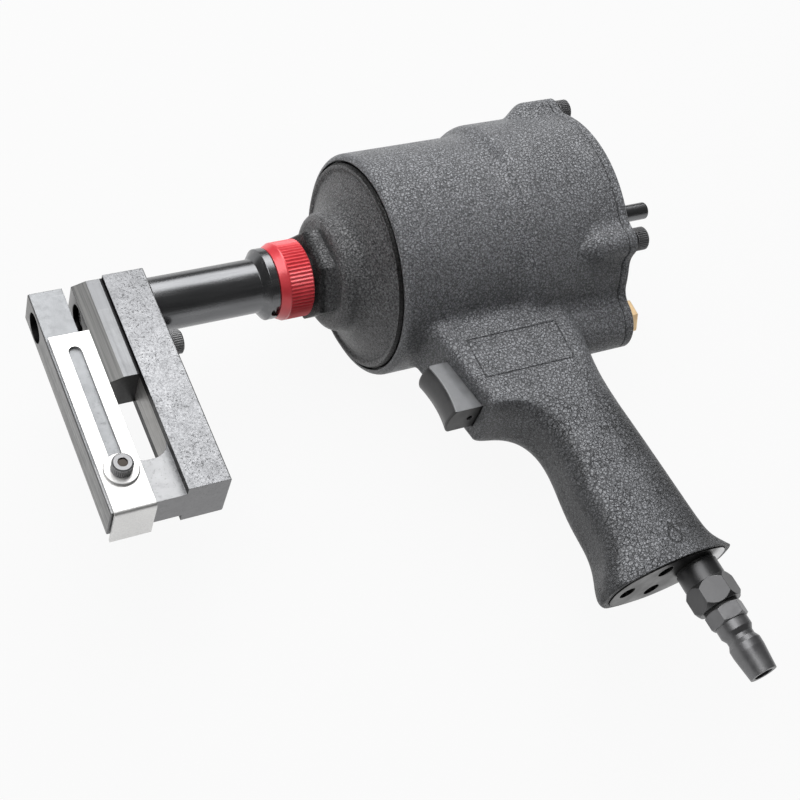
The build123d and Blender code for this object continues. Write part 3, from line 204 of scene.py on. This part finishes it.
class Graph:
    """A material's node graph, with one short call for each kind of node it uses."""

    def __init__(self, name):
        self.material = bpy.data.materials.new(name)
        self.material.use_nodes = True
        self.tree = self.material.node_tree
        self.surface = self.tree.nodes["Principled BSDF"]
        coordinates = self.node("ShaderNodeTexCoord")
        self.place = coordinates.outputs["Object"]
        self.facing = coordinates.outputs["Normal"]

    def node(self, kind, **settings):
        made = self.tree.nodes.new(kind)
        for key, value in settings.items():
            setattr(made, key, value)
        return made

    def feed(self, socket, value):
        """Links an output to a socket, or sets the socket to a constant."""
        if isinstance(value, bpy.types.NodeSocket):
            self.tree.links.new(value, socket)
        elif isinstance(value, (tuple, list)) and len(value) == 3 and socket.type == "RGBA":
            socket.default_value = (*value, 1.0)
        else:
            socket.default_value = value

    def stretch(self, scale, turn=(0.0, 0.0, 0.0)):
        made = self.node("ShaderNodeMapping")
        self.feed(made.inputs["Vector"], self.place)
        made.inputs["Scale"].default_value = scale
        made.inputs["Rotation"].default_value = turn
        return made.outputs["Vector"]

    def noise(self, scale, detail=2.0, roughness=0.5, place=None, distortion=0.0):
        made = self.node("ShaderNodeTexNoise")
        self.feed(made.inputs["Vector"], place or self.place)
        made.inputs["Scale"].default_value = scale
        made.inputs["Detail"].default_value = detail
        made.inputs["Roughness"].default_value = roughness
        made.inputs["Distortion"].default_value = distortion
        return made.outputs["Fac"]

    def cell_edges(self, scale, place):
        """Distance to the edges of a pattern of cells."""
        made = self.node("ShaderNodeTexVoronoi", feature="DISTANCE_TO_EDGE")
        self.feed(made.inputs["Vector"], place)
        made.inputs["Scale"].default_value = scale
        return made.outputs["Distance"]

    def warp(self, scale, amount):
        """Object coordinates pushed about by a noise, for patterns with no straight lines."""
        made = self.node("ShaderNodeTexNoise")
        self.feed(made.inputs["Vector"], self.place)
        made.inputs["Scale"].default_value = scale
        made.inputs["Detail"].default_value = 2.0
        centred = self.node("ShaderNodeVectorMath", operation="SUBTRACT")
        self.feed(centred.inputs[0], made.outputs["Color"])
        centred.inputs[1].default_value = (0.5, 0.5, 0.5)
        sized = self.node("ShaderNodeVectorMath", operation="SCALE")
        self.feed(sized.inputs[0], centred.outputs[0])
        sized.inputs["Scale"].default_value = amount
        moved = self.node("ShaderNodeVectorMath", operation="ADD")
        self.feed(moved.inputs[0], self.place)
        self.feed(moved.inputs[1], sized.outputs[0])
        return moved.outputs[0]

    def span(self, value, low, high, to_low=0.0, to_high=1.0):
        """Maps low..high smoothly to to_low..to_high, held at both ends."""
        made = self.node("ShaderNodeMapRange")
        made.interpolation_type = "SMOOTHSTEP"
        self.feed(made.inputs["Value"], value)
        made.inputs["From Min"].default_value = low
        made.inputs["From Max"].default_value = high
        made.inputs["To Min"].default_value = to_low
        made.inputs["To Max"].default_value = to_high
        return made.outputs["Result"]

    def spread(self, noise, to_low=0.0, to_high=1.0):
        """Maps a noise's middle range to to_low..to_high."""
        return self.span(noise, *NOISE_RANGE, to_low, to_high)

    def math(self, operation, a, b=0.0):
        made = self.node("ShaderNodeMath", operation=operation)
        self.feed(made.inputs[0], a)
        self.feed(made.inputs[1], b)
        return made.outputs[0]

    def mix(self, share, a, b):
        made = self.node("ShaderNodeMix", data_type="RGBA")
        self.feed(made.inputs["Factor"], share)
        self.feed(made.inputs[6], a)
        self.feed(made.inputs[7], b)
        return made.outputs[2]

    def darken(self, share, color, left):
        """Takes a colour down to the given share of itself, where the mask is 1."""
        made = self.node("ShaderNodeMix", data_type="RGBA", blend_type="MULTIPLY")
        self.feed(made.inputs["Factor"], share)
        self.feed(made.inputs[6], color)
        self.feed(made.inputs[7], (left, left, left))
        return made.outputs[2]

    def axis(self, name):
        """Share of the surface that faces along one object axis, either way."""
        return self.math("ABSOLUTE", self.toward(name))

    def turned(self, name):
        """1 on faces turned along one object axis, either way."""
        return self.span(self.axis(name), *FACING_RANGE)

    def toward(self, name):
        """How much the surface faces along one object axis, with its sign."""
        made = self.node("ShaderNodeSeparateXYZ")
        self.feed(made.inputs[0], self.facing)
        return made.outputs[name]

    def position(self, name):
        made = self.node("ShaderNodeSeparateXYZ")
        self.feed(made.inputs[0], self.place)
        return made.outputs[name]

    def off(self, name, middle):
        """Distance from a place along one object axis, with its sign."""
        return self.math("SUBTRACT", self.position(name), middle)

    def squares(self, a, b):
        return self.math("ADD", self.math("MULTIPLY", a, a), self.math("MULTIPLY", b, b))

    def within(self, a, b, radius):
        """1 where two distances lie inside a circle of the given radius."""
        return self.math("LESS_THAN", self.squares(a, b), radius * radius)

    def near_axis(self, radius):
        """1 within the given radius of the tool's own axis."""
        return self.within(self.position("Y"), self.position("Z"), radius)

    def drawn(self, apart, line, strength):
        """A line on the left face, where the distance from it is under the line's reach."""
        drawn = self.span(self.math("ABSOLUTE", apart), line * 0.5, line, strength, 0.0)
        return self.math("MULTIPLY", drawn, self.span(self.toward("Z"), *DRAWN_RANGE))

    def soft_edge(self, radius):
        """Normal rounded over the edges, for the shading only."""
        made = self.node("ShaderNodeBevel", samples=6)
        made.inputs["Radius"].default_value = radius
        return made.outputs["Normal"]

    def edge_mask(self, soft, low=0.02, high=0.16):
        """1 along the edges, where the softened normal leaves the true one."""
        geometry = self.node("ShaderNodeNewGeometry")
        dot = self.node("ShaderNodeVectorMath", operation="DOT_PRODUCT")
        self.feed(dot.inputs[0], soft)
        self.feed(dot.inputs[1], geometry.outputs["Normal"])
        return self.span(self.math("SUBTRACT", 1.0, dot.outputs["Value"]), low, high)

    def bump(self, height, distance, strength=1.0, normal=None):
        made = self.node("ShaderNodeBump")
        self.feed(made.inputs["Height"], height)
        made.inputs["Distance"].default_value = distance
        made.inputs["Strength"].default_value = strength
        if normal is not None:
            self.feed(made.inputs["Normal"], normal)
        return made.outputs["Normal"]

    def finish(self, color, roughness, metallic=0.0, normal=None, specular=0.5, coat=0.0):
        self.feed(self.surface.inputs["Base Color"], color)
        self.feed(self.surface.inputs["Roughness"], roughness)
        self.feed(self.surface.inputs["Metallic"], metallic)
        self.feed(self.surface.inputs["Specular IOR Level"], specular)
        self.surface.inputs["Coat Weight"].default_value = coat
        self.surface.inputs["Coat Roughness"].default_value = 0.15
        if normal is not None:
            self.feed(self.surface.inputs["Normal"], normal)
        return self.material


def droplet(g, middle, radius, tip, line):
    """1 on the outline of a plain droplet on the left face, and 0 elsewhere."""
    slope = radius / tip
    level = math.sqrt(1.0 - slope * slope)
    x = g.math("ABSOLUTE", g.off("X", middle[0]))
    y = g.off("Y", middle[1])
    bowl = g.math("SUBTRACT", g.math("SQRT", g.squares(x, y)), radius)
    flank = g.math("ADD", g.math("MULTIPLY", x, level), g.math("MULTIPLY", y, slope))
    flank = g.math("SUBTRACT", flank, radius)
    above = g.math("SUBTRACT", g.math("MULTIPLY", y, level), g.math("MULTIPLY", x, slope))
    pointed = g.math("GREATER_THAN", above, 0.0)
    bowl = g.math("MULTIPLY", bowl, g.math("SUBTRACT", 1.0, pointed))
    apart = g.math("ADD", g.math("MULTIPLY", flank, pointed), bowl)
    return g.drawn(apart, line, 1.0)


def panel_groove(g):
    """Painted shade in the groove round the bare label panel on the left face."""
    x = g.math("ABSOLUTE", g.off("X", PANEL_MIDDLE[0]))
    y = g.math("ABSOLUTE", g.off("Y", PANEL_MIDDLE[1]))
    apart = g.math("MAXIMUM", g.math("SUBTRACT", x, PANEL_HALF[0]), g.math("SUBTRACT", y, PANEL_HALF[1]))
    return g.drawn(apart, PANEL_LINE, 0.8)


def shade(tone, share):
    """A colour made lighter or darker by one share."""
    return tuple(value * share for value in tone)


def crinkle_paint(name, tone, gloss, coarse, deep, specular, on_cap):
    """Charcoal crinkle paint: a fine grain cut by creases, which open into cracks on the handle, with
    painted shade in its wrinkles and creases.

    Painted shade darkens the cap's hub, the seam between cap and housing and the grip's edges, and painted
    light makes the cap's hexagon paler.
    """
    g = Graph(name)
    grain = g.noise(coarse, 3.0, 0.65)
    cloud = g.noise(95.0, 3.0, 0.55)
    wrinkles = g.cell_edges(760.0, g.warp(800.0, 0.0014))
    wrinkles = g.span(wrinkles, 0.01, 0.15, 1.0, 0.0)
    creases = g.cell_edges(430.0, g.warp(620.0, 0.0020))
    handle = g.span(g.position("Y"), HANDLE_TOP, HANDLE_TOP - HANDLE_FADE)
    patches = g.span(g.noise(120.0, 2.0), 0.34, 0.62, 0.25, 1.0)
    cracked = g.math("MULTIPLY", g.span(handle, 0.0, 1.0, 0.45, 1.0), patches)
    creases = g.math("MULTIPLY", g.span(creases, 0.02, 0.085, 1.0, 0.0), cracked)
    if not on_cap:
        # The panel's groove and the droplet's pressed outline join the creases and take their painted shade
        creases = g.math("MAXIMUM", creases, panel_groove(g))
        pressed = droplet(g, DROPLET_MIDDLE, DROPLET_RADIUS, DROPLET_TIP, DROPLET_LINE)
        creases = g.math("MAXIMUM", creases, pressed)
    color = g.mix(g.span(grain, 0.32, 0.68), shade(tone, 0.42), shade(tone, 1.95))
    color = g.mix(g.span(cloud, 0.35, 0.65, 0.0, 0.22), color, shade(tone, 0.72))
    # Painted shade darkens the wrinkles and the creases
    color = g.mix(g.math("MULTIPLY", wrinkles, 0.72), color, shade(tone, 0.28))
    color = g.mix(g.math("MULTIPLY", creases, 0.85), color, shade(tone, 0.18))
    if on_cap:
        # Painted shade darkens the cap's hub behind the hexagon and dulls its specular
        behind = g.span(g.position("X"), HUB_END - 2.0 * MM, HUB_END + 2.0 * MM, 1.0, 0.0)
        ahead = g.span(g.position("X"), HEX_END - 1.0 * MM, HEX_END + 1.0 * MM)
        dark = g.math("MINIMUM", behind, ahead)
        specular = g.span(dark, 0.0, 1.0, specular, 0.08)
        # Painted light makes the cap's hexagon paler
        color = g.mix(g.span(ahead, 0.0, 1.0, 0.6, 0.0), color, (0.260, 0.260, 0.265))
    else:
        # Painted shade darkens the handle where its faces turn away from the left face and along its back
        # edge
        back = g.math("ADD", g.math("MULTIPLY", g.position("Y"), GRIP_LEAN), GRIP_BACK)
        back_edge_shade = g.span(g.math("SUBTRACT", back, g.position("X")), 5.0 * MM, 20.0 * MM, 0.85, 0.0)
        dark = g.math("MAXIMUM", g.span(g.axis("Z"), 0.985, 0.72, 0.0, 0.80), back_edge_shade)
        dark = g.math("MULTIPLY", handle, dark)
    # Painted shade takes down the cap's hub and the handle's edges
    color = g.darken(dark, color, 0.28)
    # Painted shadow blackens the seam's groove between cap and housing
    if on_cap:
        seam = g.math("SUBTRACT", 1.0, g.near_axis(CAP_EDGE))
    else:
        seam = g.math("MULTIPLY", g.near_axis(RIM_EDGE), g.math("LESS_THAN", g.position("X"), RIM_BACK))
    color = g.mix(seam, color, (0.006, 0.006, 0.006))
    height = g.math("SUBTRACT", g.math("MULTIPLY", grain, 0.5), g.math("MULTIPLY", wrinkles, 0.75))
    height = g.math("SUBTRACT", height, g.math("MULTIPLY", creases, 0.6))
    roughness = g.spread(grain, gloss - 0.05, gloss + 0.12)
    normal = g.bump(height, deep, 0.9, g.soft_edge(0.6 * MM))
    return g.finish(color, roughness, 0.0, normal, specular)


def frame_steel():
    """Hardened steel: speckled sides with pits and scratches, streaked faces across the tool's length, and
    painted shade towards the sides' top, on the shoulder beside the guide and in the punch's hole.
    """
    g = Graph("frame_steel")
    across = g.turned("X")
    ends = g.turned("Y")
    speckle = g.noise(1250.0, 4.0, 0.75)
    mottle = g.noise(260.0, 7.0, 0.72, distortion=0.6)
    block = g.span(g.position("X"), 11.0 * MM, 15.0 * MM)
    side = g.mix(g.span(speckle, 0.34, 0.66), (0.205, 0.208, 0.216), (0.315, 0.319, 0.329))
    side = g.mix(g.math("MULTIPLY", g.span(mottle, 0.46, 0.66), 0.30), side, (0.175, 0.178, 0.185))
    bridge = g.span(g.position("Y"), BRIDGE_TOP - 1.0 * MM, BRIDGE_TOP + 1.0 * MM)
    # Painted shade darkens the side towards its top
    side = g.mix(g.span(g.position("Y"), -28.0 * MM, 4.0 * MM, 0.0, 0.45), side, (0.130, 0.132, 0.137))
    arm = g.mix(bridge, (0.300, 0.303, 0.309), (0.215, 0.221, 0.228))
    side = g.mix(block, arm, side)
    scratch = g.noise(1.0, 3.0, 0.6, g.stretch((45.0, 1600.0, 300.0), (0.0, 0.0, 0.5)))
    side = g.mix(g.math("MULTIPLY", g.span(scratch, 0.66, 0.72), 0.35), side, (0.420, 0.424, 0.432))
    streak = g.noise(1.0, 4.0, 0.6, g.stretch((900.0, 20.0, 900.0)))
    front = g.mix(g.spread(streak), (0.19, 0.19, 0.189), (0.36, 0.36, 0.356))
    end = g.mix(g.spread(mottle), (0.21, 0.21, 0.215), (0.28, 0.28, 0.286))
    color = g.mix(across, side, front)
    color = g.mix(ends, color, end)
    crowd = g.span(g.noise(80.0, 3.0, 0.6), 0.30, 0.62, 0.35, 1.0)
    worn = g.math("MAXIMUM", block, g.span(g.position("Y"), -12.0 * MM, -17.0 * MM, 0.0, 0.45))
    pits = g.span(g.noise(1400.0, 3.0, 0.6), 0.58, 0.66)
    pits = g.math("MULTIPLY", pits, g.math("MULTIPLY", crowd, worn))
    color = g.mix(g.math("MULTIPLY", pits, 0.62), color, (0.070, 0.070, 0.073))
    at_step = g.math("LESS_THAN", g.math("ABSOLUTE", g.off("X", SHOULDER_X)), 0.6 * MM)
    shoulder = g.math("GREATER_THAN", g.math("ABSOLUTE", g.position("Z")), SHOULDER_HALF)
    step_face = g.math("MULTIPLY", at_step, g.span(g.toward("X"), -0.5, -0.8))
    shoulder = g.math("MULTIPLY", shoulder, step_face)
    wall = g.mix(g.spread(streak), (0.29, 0.284, 0.276), (0.47, 0.462, 0.450))
    color = g.mix(step_face, color, wall)
    # Painted shadow blackens the shoulder's step faces
    color = g.mix(shoulder, color, (0.004, 0.004, 0.004))
    # Painted shade darkens the punch's hole
    color = g.mix(g.near_axis(PUNCH_HOLE), color, (0.020, 0.020, 0.020))
    soft = g.soft_edge(0.3 * MM)
    color = g.mix(g.math("MULTIPLY", g.edge_mask(soft), 0.35), color, (0.45, 0.45, 0.455))
    roughness = g.spread(mottle, 0.38, 0.50)
    height = g.math("ADD", g.math("MULTIPLY", pits, -1.0), g.math("MULTIPLY", speckle, 0.30))
    normal = g.bump(height, 0.05 * MM, 0.8, soft)
    return g.finish(color, roughness, 0.80, normal)


def ground_steel():
    """Ground steel of the guide: flanks duller above a set height, end faces darkened with painted shade
    towards the foot, a painted shadow along its seam with the frame and a streaked face.
    """
    g = Graph("ground_steel")
    lay = g.noise(1.0, 4.0, 0.6, g.stretch((1200.0, 18.0, 1200.0)))
    stain = g.noise(130.0, 6.0, 0.65)
    facet = g.span(g.toward("X"), -0.12, -0.25)
    nose = g.span(g.toward("X"), -0.60, -0.85)
    ends = g.turned("Y")
    flank = g.mix(g.span(stain, 0.35, 0.7), (0.168, 0.171, 0.176), (0.142, 0.145, 0.149))
    dull = g.span(g.position("Y"), GUIDE_BREAK - 0.2 * MM, GUIDE_BREAK + 0.2 * MM, 0.0, 0.8)
    flank = g.mix(dull, flank, (0.142, 0.145, 0.150))
    # Painted shadow along the guide's seam with the frame
    seam = g.math("GREATER_THAN", g.position("X"), GUIDE_SEAM)
    color = g.mix(seam, flank, (0.016, 0.016, 0.017))
    slanted = g.mix(g.spread(lay), (0.060, 0.060, 0.060), (0.140, 0.140, 0.137))
    color = g.mix(facet, color, slanted)
    streaked = g.mix(g.spread(lay), (0.22, 0.22, 0.22), (0.34, 0.34, 0.338))
    color = g.mix(nose, color, streaked)
    # Painted shade darkens the guide's end faces towards its foot
    foot = g.mix(g.span(g.position("X"), 4.0 * MM, 9.0 * MM), (0.048, 0.047, 0.045), (0.022, 0.022, 0.022))
    color = g.mix(ends, color, foot)
    # Painted shade darkens the punch's hole
    color = g.mix(g.near_axis(PUNCH_HOLE), color, (0.020, 0.020, 0.020))
    soft = g.soft_edge(0.3 * MM)
    color = g.mix(g.math("MULTIPLY", g.edge_mask(soft), 0.4), color, (0.55, 0.55, 0.55))
    roughness = g.spread(lay, 0.30, 0.44)
    normal = g.bump(lay, 0.02 * MM, 0.7, soft)
    return g.finish(color, roughness, 0.85, normal)


def bright_sheet():
    """Bright plated sheet with a faint rolling grain along its length."""
    g = Graph("bright_sheet")
    grain = g.noise(1.0, 3.0, 0.6, g.stretch((1500.0, 14.0, 1500.0)))
    haze = g.noise(60.0, 3.0)
    color = g.mix(g.spread(grain), (0.70, 0.695, 0.687), (0.78, 0.777, 0.768))
    roughness = g.spread(haze, 0.40, 0.50)
    soft = g.soft_edge(0.2 * MM)
    normal = g.bump(grain, 0.004 * MM, 0.5, soft)
    return g.finish(color, roughness, 0.9, normal)


def polished_black():
    """Polished black oxide steel, which mirrors the lamps as long streaks."""
    g = Graph("polished_black")
    turning = g.noise(1.0, 3.0, 0.55, g.stretch((2400.0, 90.0, 90.0)))
    smear = g.noise(1.0, 4.0, 0.6, g.stretch((38.0, 420.0, 420.0)))
    soft = g.soft_edge(0.3 * MM)
    color = g.mix(g.span(smear, 0.35, 0.7), (0.145, 0.147, 0.152), (0.185, 0.187, 0.193))
    color = g.mix(g.math("MULTIPLY", g.edge_mask(soft), 0.3), color, (0.48, 0.48, 0.49))
    roughness = g.spread(smear, 0.22, 0.28)
    normal = g.bump(turning, 0.004 * MM, 0.5, soft)
    return g.finish(color, roughness, 0.85, normal)


def black_oxide(name, tone, low, high, socket=None):
    """Oiled black oxide with turning marks, paler worn edges and, where one is given, a socket darkened with
    painted shade.
    """
    g = Graph(name)
    turning = g.noise(1.0, 3.0, 0.55, g.stretch((1800.0, 60.0, 60.0)))
    smear = g.noise(70.0, 4.0, 0.6)
    soft = g.soft_edge(0.25 * MM)
    worn = (tone * 1.5, tone * 1.5, tone * 1.53)
    color = g.mix(g.span(smear, 0.35, 0.7), (tone, tone, tone * 1.03), worn)
    color = g.mix(g.math("MULTIPLY", g.edge_mask(soft), 0.35), color, (0.45, 0.45, 0.455))
    if socket:
        # Painted shade darkens the socket
        hollow = g.within(g.off("X", socket[0]), g.off("Y", socket[1]), STOP_SOCKET)
        color = g.mix(hollow, color, (0.030, 0.024, 0.020))
    roughness = g.spread(smear, low, high)
    normal = g.bump(turning, 0.006 * MM, 0.5, soft)
    return g.finish(color, roughness, 0.7, normal)


def red_anodised():
    """Red anodised aluminium, paler where the knurl is worn."""
    g = Graph("red_anodised")
    dye = g.noise(180.0, 4.0, 0.6)
    color = g.mix(g.spread(dye), (0.74, 0.055, 0.070), (0.84, 0.074, 0.090))
    soft = g.soft_edge(0.15 * MM)
    color = g.mix(g.math("MULTIPLY", g.edge_mask(soft, 0.05, 0.3), 0.4), color, (0.75, 0.20, 0.22))
    roughness = g.spread(dye, 0.28, 0.40)
    normal = g.bump(g.noise(2400.0, 2.0), 0.01 * MM, 0.5, soft)
    return g.finish(color, roughness, 0.15, normal, 0.6, 0.3)


def dull_brass():
    """Brass with a dull tarnish."""
    g = Graph("dull_brass")
    tarnish = g.noise(210.0, 6.0, 0.65)
    color = g.mix(g.span(tarnish, 0.35, 0.7), (0.98, 0.74, 0.44), (0.88, 0.63, 0.36))
    soft = g.soft_edge(0.25 * MM)
    roughness = g.spread(tarnish, 0.30, 0.48)
    normal = g.bump(g.noise(1600.0, 3.0), 0.01 * MM, 0.6, soft)
    return g.finish(color, roughness, 0.85, normal)


def milled_aluminium():
    """Dark milled aluminium, with a painted reflection lightening its back end."""
    g = Graph("milled_aluminium")
    lay = g.noise(1.0, 4.0, 0.6, g.stretch((26.0, 900.0, 1100.0)))
    color = g.mix(g.spread(lay), (0.046, 0.046, 0.046), (0.068, 0.068, 0.067))
    # Painted reflection lightens the plate's back end
    painted_reflection = g.span(g.position("X"), *REFLECTION_SPAN)
    color = g.mix(painted_reflection, color, (0.60, 0.60, 0.605))
    soft = g.soft_edge(0.25 * MM)
    roughness = g.spread(g.noise(120.0, 4.0), 0.26, 0.42)
    normal = g.bump(lay, 0.012 * MM, 0.6, soft)
    return g.finish(color, roughness, 0.9, normal)


def turned_steel():
    """Oiled turned steel of the inner pieces."""
    g = Graph("turned_steel")
    turning = g.noise(1.0, 3.0, 0.55, g.stretch((2200.0, 50.0, 50.0)))
    oil = g.noise(90.0, 4.0)
    color = g.mix(g.spread(oil), (0.42, 0.42, 0.415), (0.54, 0.54, 0.535))
    roughness = g.spread(oil, 0.2, 0.34)
    normal = g.bump(turning, 0.008 * MM, 0.6, g.soft_edge(0.2 * MM))
    return g.finish(color, roughness, 0.95, normal)


def satin_sided_trigger():
    """Black trigger whose left side is a satin grey, with painted shade on its faces along the tool's
    height.
    """
    g = Graph("satin_sided_trigger")
    rub = g.noise(160.0, 5.0, 0.6)
    left = g.span(g.axis("Z"), 0.93, 0.98)
    under = g.span(g.axis("Y"), 0.6, 0.85)
    soft = g.soft_edge(0.4 * MM)
    black = g.mix(g.spread(rub), (0.060, 0.060, 0.061), (0.085, 0.085, 0.087))
    grey = g.mix(g.spread(rub), (0.180, 0.184, 0.192), (0.226, 0.230, 0.238))
    color = g.mix(left, black, grey)
    # Painted shade darkens the faces along the tool's height
    color = g.mix(under, color, (0.026, 0.026, 0.026))
    color = g.mix(g.math("MULTIPLY", g.edge_mask(soft), 0.4), color, (0.42, 0.42, 0.43))
    roughness = g.spread(rub, 0.32, 0.46)
    normal = g.bump(g.noise(1500.0, 3.0), 0.012 * MM, 0.6, soft)
    return g.finish(color, roughness, 0.25, normal)


def plain(name, dark, light, low, high, grain_scale, grain_depth):
    """Simple surface of two close tones with a fine grain, for seals, felt, fibre and plastic."""
    g = Graph(name)
    cloud = g.noise(grain_scale * 0.25, 4.0, 0.6)
    color = g.mix(g.spread(cloud), dark, light)
    roughness = g.spread(cloud, low, high)
    normal = g.bump(g.noise(grain_scale, 3.0, 0.6), grain_depth, 0.8)
    return g.finish(color, roughness, 0.0, normal)


def dress():
    """Gives each node its material, by its own name or else by its slot in the record."""
    body_paint = crinkle_paint("body_paint", (0.204, 0.209, 0.221), 0.38, 1600.0, 0.34 * MM, 0.5, False)
    cap_paint = crinkle_paint("cap_paint", (0.138, 0.139, 0.143), 0.30, 1300.0, 0.32 * MM, 0.30, True)
    glossy_black = polished_black()
    screw_black = black_oxide("screw_black", 0.060, 0.26, 0.38)
    cover_black = black_oxide("cover_screw_black", 0.105, 0.26, 0.38)
    guide_black = black_oxide("guide_screw_black", 0.115, 0.28, 0.40)
    screw_grey = black_oxide("screw_grey", 0.17, 0.28, 0.40, STOP_SCREW)
    phosphate = black_oxide("phosphate", 0.145, 0.34, 0.46)
    bush_black = black_oxide("bush_black", 0.070, 0.30, 0.42)
    black, fibrous = (0.020, 0.020, 0.020), (0.018, 0.018, 0.018)
    rubber = plain("seal_rubber", black, (0.034, 0.034, 0.035), 0.5, 0.7, 900.0, 0.03 * MM)
    fibre = plain("gasket_fibre", fibrous, (0.040, 0.040, 0.039), 0.7, 0.9, 1400.0, 0.05 * MM)
    felt = plain("grey_felt", (0.22, 0.215, 0.20), (0.38, 0.37, 0.35), 0.9, 1.0, 1800.0, 0.25 * MM)
    acetal = plain("white_acetal", (0.74, 0.73, 0.70), (0.82, 0.81, 0.78), 0.35, 0.5, 700.0, 0.01 * MM)
    sheet = bright_sheet()
    by_slot = {
        "cast_black": body_paint,
        "frame_steel": frame_steel(),
        "ground_steel": ground_steel(),
        "bright_sheet": sheet,
        "black_oxide": screw_black,
        "red_anodised": red_anodised(),
        "brass": dull_brass(),
        "bare_aluminium": milled_aluminium(),
        "phosphate": phosphate,
        "trigger_black": satin_sided_trigger(),
        "tool_steel": turned_steel(),
        "seal_rubber": rubber,
        "gasket_fibre": fibre,
        "felt": felt,
        "gland_plastic": acetal,
    }
    by_node = {
        "barrel_tube": glossy_black,
        "tail_rod": glossy_black,
        "front_cap": cap_paint,
        "stop_screw": screw_grey,
        "stop_washer": sheet,
        "guide_screw": guide_black,
        "inlet_bush": bush_black,
        "cover_screws": cover_black,
    }
    for part in frame["record"]["subparts"]:
        name = part["node"]
        surface = by_node.get(name, by_slot[part["material_slot"]])
        nodes[name].data.materials.clear()
        nodes[name].data.materials.append(surface)


def head_places(name, axis, size):
    """Middle of the under side of each head of a screw node, read from its own mesh."""
    diameter, height = size[0], size[1]
    corners = [vertex.co.copy() for vertex in nodes[name].data.vertices]
    top = max(corner[axis] for corner in corners)
    rim = [corner for corner in corners if corner[axis] > top - height * 0.9]
    heads = []
    for corner in rim:
        near = [head for head in heads if (head[0] - corner).length < diameter * 1.5]
        if near:
            near[0].append(corner)
        else:
            heads.append([corner])
    places = []
    for head in heads:
        middle = [(min(c[i] for c in head) + max(c[i] for c in head)) / 2 for i in range(3)]
        middle[axis] = top - height
        places.append(Vector(middle))
    return places


def toothed_head(name, axis, size):
    """Straight knurl of real teeth round each head of a screw node, riding on the screw's own body."""
    diameter, height, chamfered, teeth = size
    valley = diameter / 2 + TOOTH_PLAY
    first, second = (axis + 1) % 3, (axis + 2) % 3
    points, faces = [], []
    for middle in head_places(name, axis, size):
        start = len(points)
        count = teeth * TOOTH_STEPS
        for level in (TOOTH_START, height - diameter * chamfered):
            for step in range(count):
                angle = 2.0 * math.pi * step / count
                reach = valley + (TOOTH if step % TOOTH_STEPS in (1, 2) else 0.0)
                point = [0.0, 0.0, 0.0]
                point[axis] = middle[axis] + level
                point[first] = middle[first] + reach * math.cos(angle)
                point[second] = middle[second] + reach * math.sin(angle)
                points.append(point)
        for step in range(count):
            after = (step + 1) % count
            faces.append((start + step, start + after, start + count + after, start + count + step))
        faces.append(tuple(start + step for step in reversed(range(count))))
        faces.append(tuple(start + count + step for step in range(count)))
    mesh = bpy.data.meshes.new(name + "_knurl")
    mesh.from_pydata(points, [], faces)
    mesh.materials.append(nodes[name].data.materials[0])
    knurl = bpy.data.objects.new(name + "_knurl", mesh)
    scene.collection.objects.link(knurl)
    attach(knurl, body_of(nodes[name])[0])


def add_knurls():
    toothed_head("stop_screw", 2, HEAD_M4)
    toothed_head("guide_screw", 0, HEAD_M5)
    toothed_head("cover_screws", 0, HEAD_M5)


def closing_spring(name, joint, fixed_end, moving_end, travel):
    """Stands for a spring node with a copy of its coils on the same body."""
    coils = bpy.data.objects.new(name + "_coils", nodes[name].data.copy())
    scene.collection.objects.link(coils)
    body = body_of(nodes[name])[0]
    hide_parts(name)
    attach(coils, body)
    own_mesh(coils)


def add_springs():
    for spring in SPRINGS:
        closing_spring(*spring)


def add_light(name, aim, distance, size, shape, power):
    """Soft rectangular lamp in the given direction from the object's middle."""
    data = bpy.data.lights.new(name, "AREA")
    data.shape = "RECTANGLE"
    data.size = size
    data.size_y = size * shape
    data.energy = power
    lamp = bpy.data.objects.new(name, data)
    scene.collection.objects.link(lamp)
    aim = Vector(aim).normalized()
    place = Vector(LAMP_MIDDLE) + aim * distance
    lamp.matrix_world = Matrix.Translation(place) @ aim.to_track_quat("Z", "Y").to_matrix().to_4x4()


def pale_floor():
    """Pale floor that the eye and the reflections see nearly white, with the shadow left on it."""
    g = Graph("pale_floor")
    g.finish(FLOOR_GREY, 0.85, specular=0.1)
    path = g.node("ShaderNodeLightPath")
    seen = g.math("MAXIMUM", path.outputs["Is Camera Ray"], path.outputs["Is Glossy Ray"])
    seen = g.math("MAXIMUM", seen, path.outputs["Is Transmission Ray"])
    white = g.node("ShaderNodeEmission")
    both = g.node("ShaderNodeMixShader")
    g.feed(both.inputs[0], g.math("MULTIPLY", seen, FLOOR_WHITE))
    g.feed(both.inputs[1], g.surface.outputs[0])
    g.feed(both.inputs[2], white.outputs[0])
    g.feed(g.tree.nodes["Material Output"].inputs["Surface"], both.outputs[0])
    return g.material


def add_stage():
    level = bounds_at_load[0][2] - FLOOR_DROP
    half = FLOOR_HALF
    mesh = bpy.data.meshes.new("floor")
    corners = [(-half, -half, level), (half, -half, level), (half, half, level), (-half, half, level)]
    mesh.from_pydata(corners, [], [(0, 1, 2, 3)])
    stand = bpy.data.objects.new("floor", mesh)
    scene.collection.objects.link(stand)
    mesh.materials.append(pale_floor())

    world = bpy.data.worlds.new("studio")
    scene.world = world
    world.use_nodes = True
    background = world.node_tree.nodes["Background"]
    background.inputs["Color"].default_value = (1.0, 1.0, 1.0, 1.0)
    background.inputs["Strength"].default_value = WORLD_LIGHT
    for lamp in LAMPS:
        add_light(*lamp)
    scene.view_settings.view_transform = "Standard"


add_camera()
dress()
add_knurls()
add_springs()
add_stage()
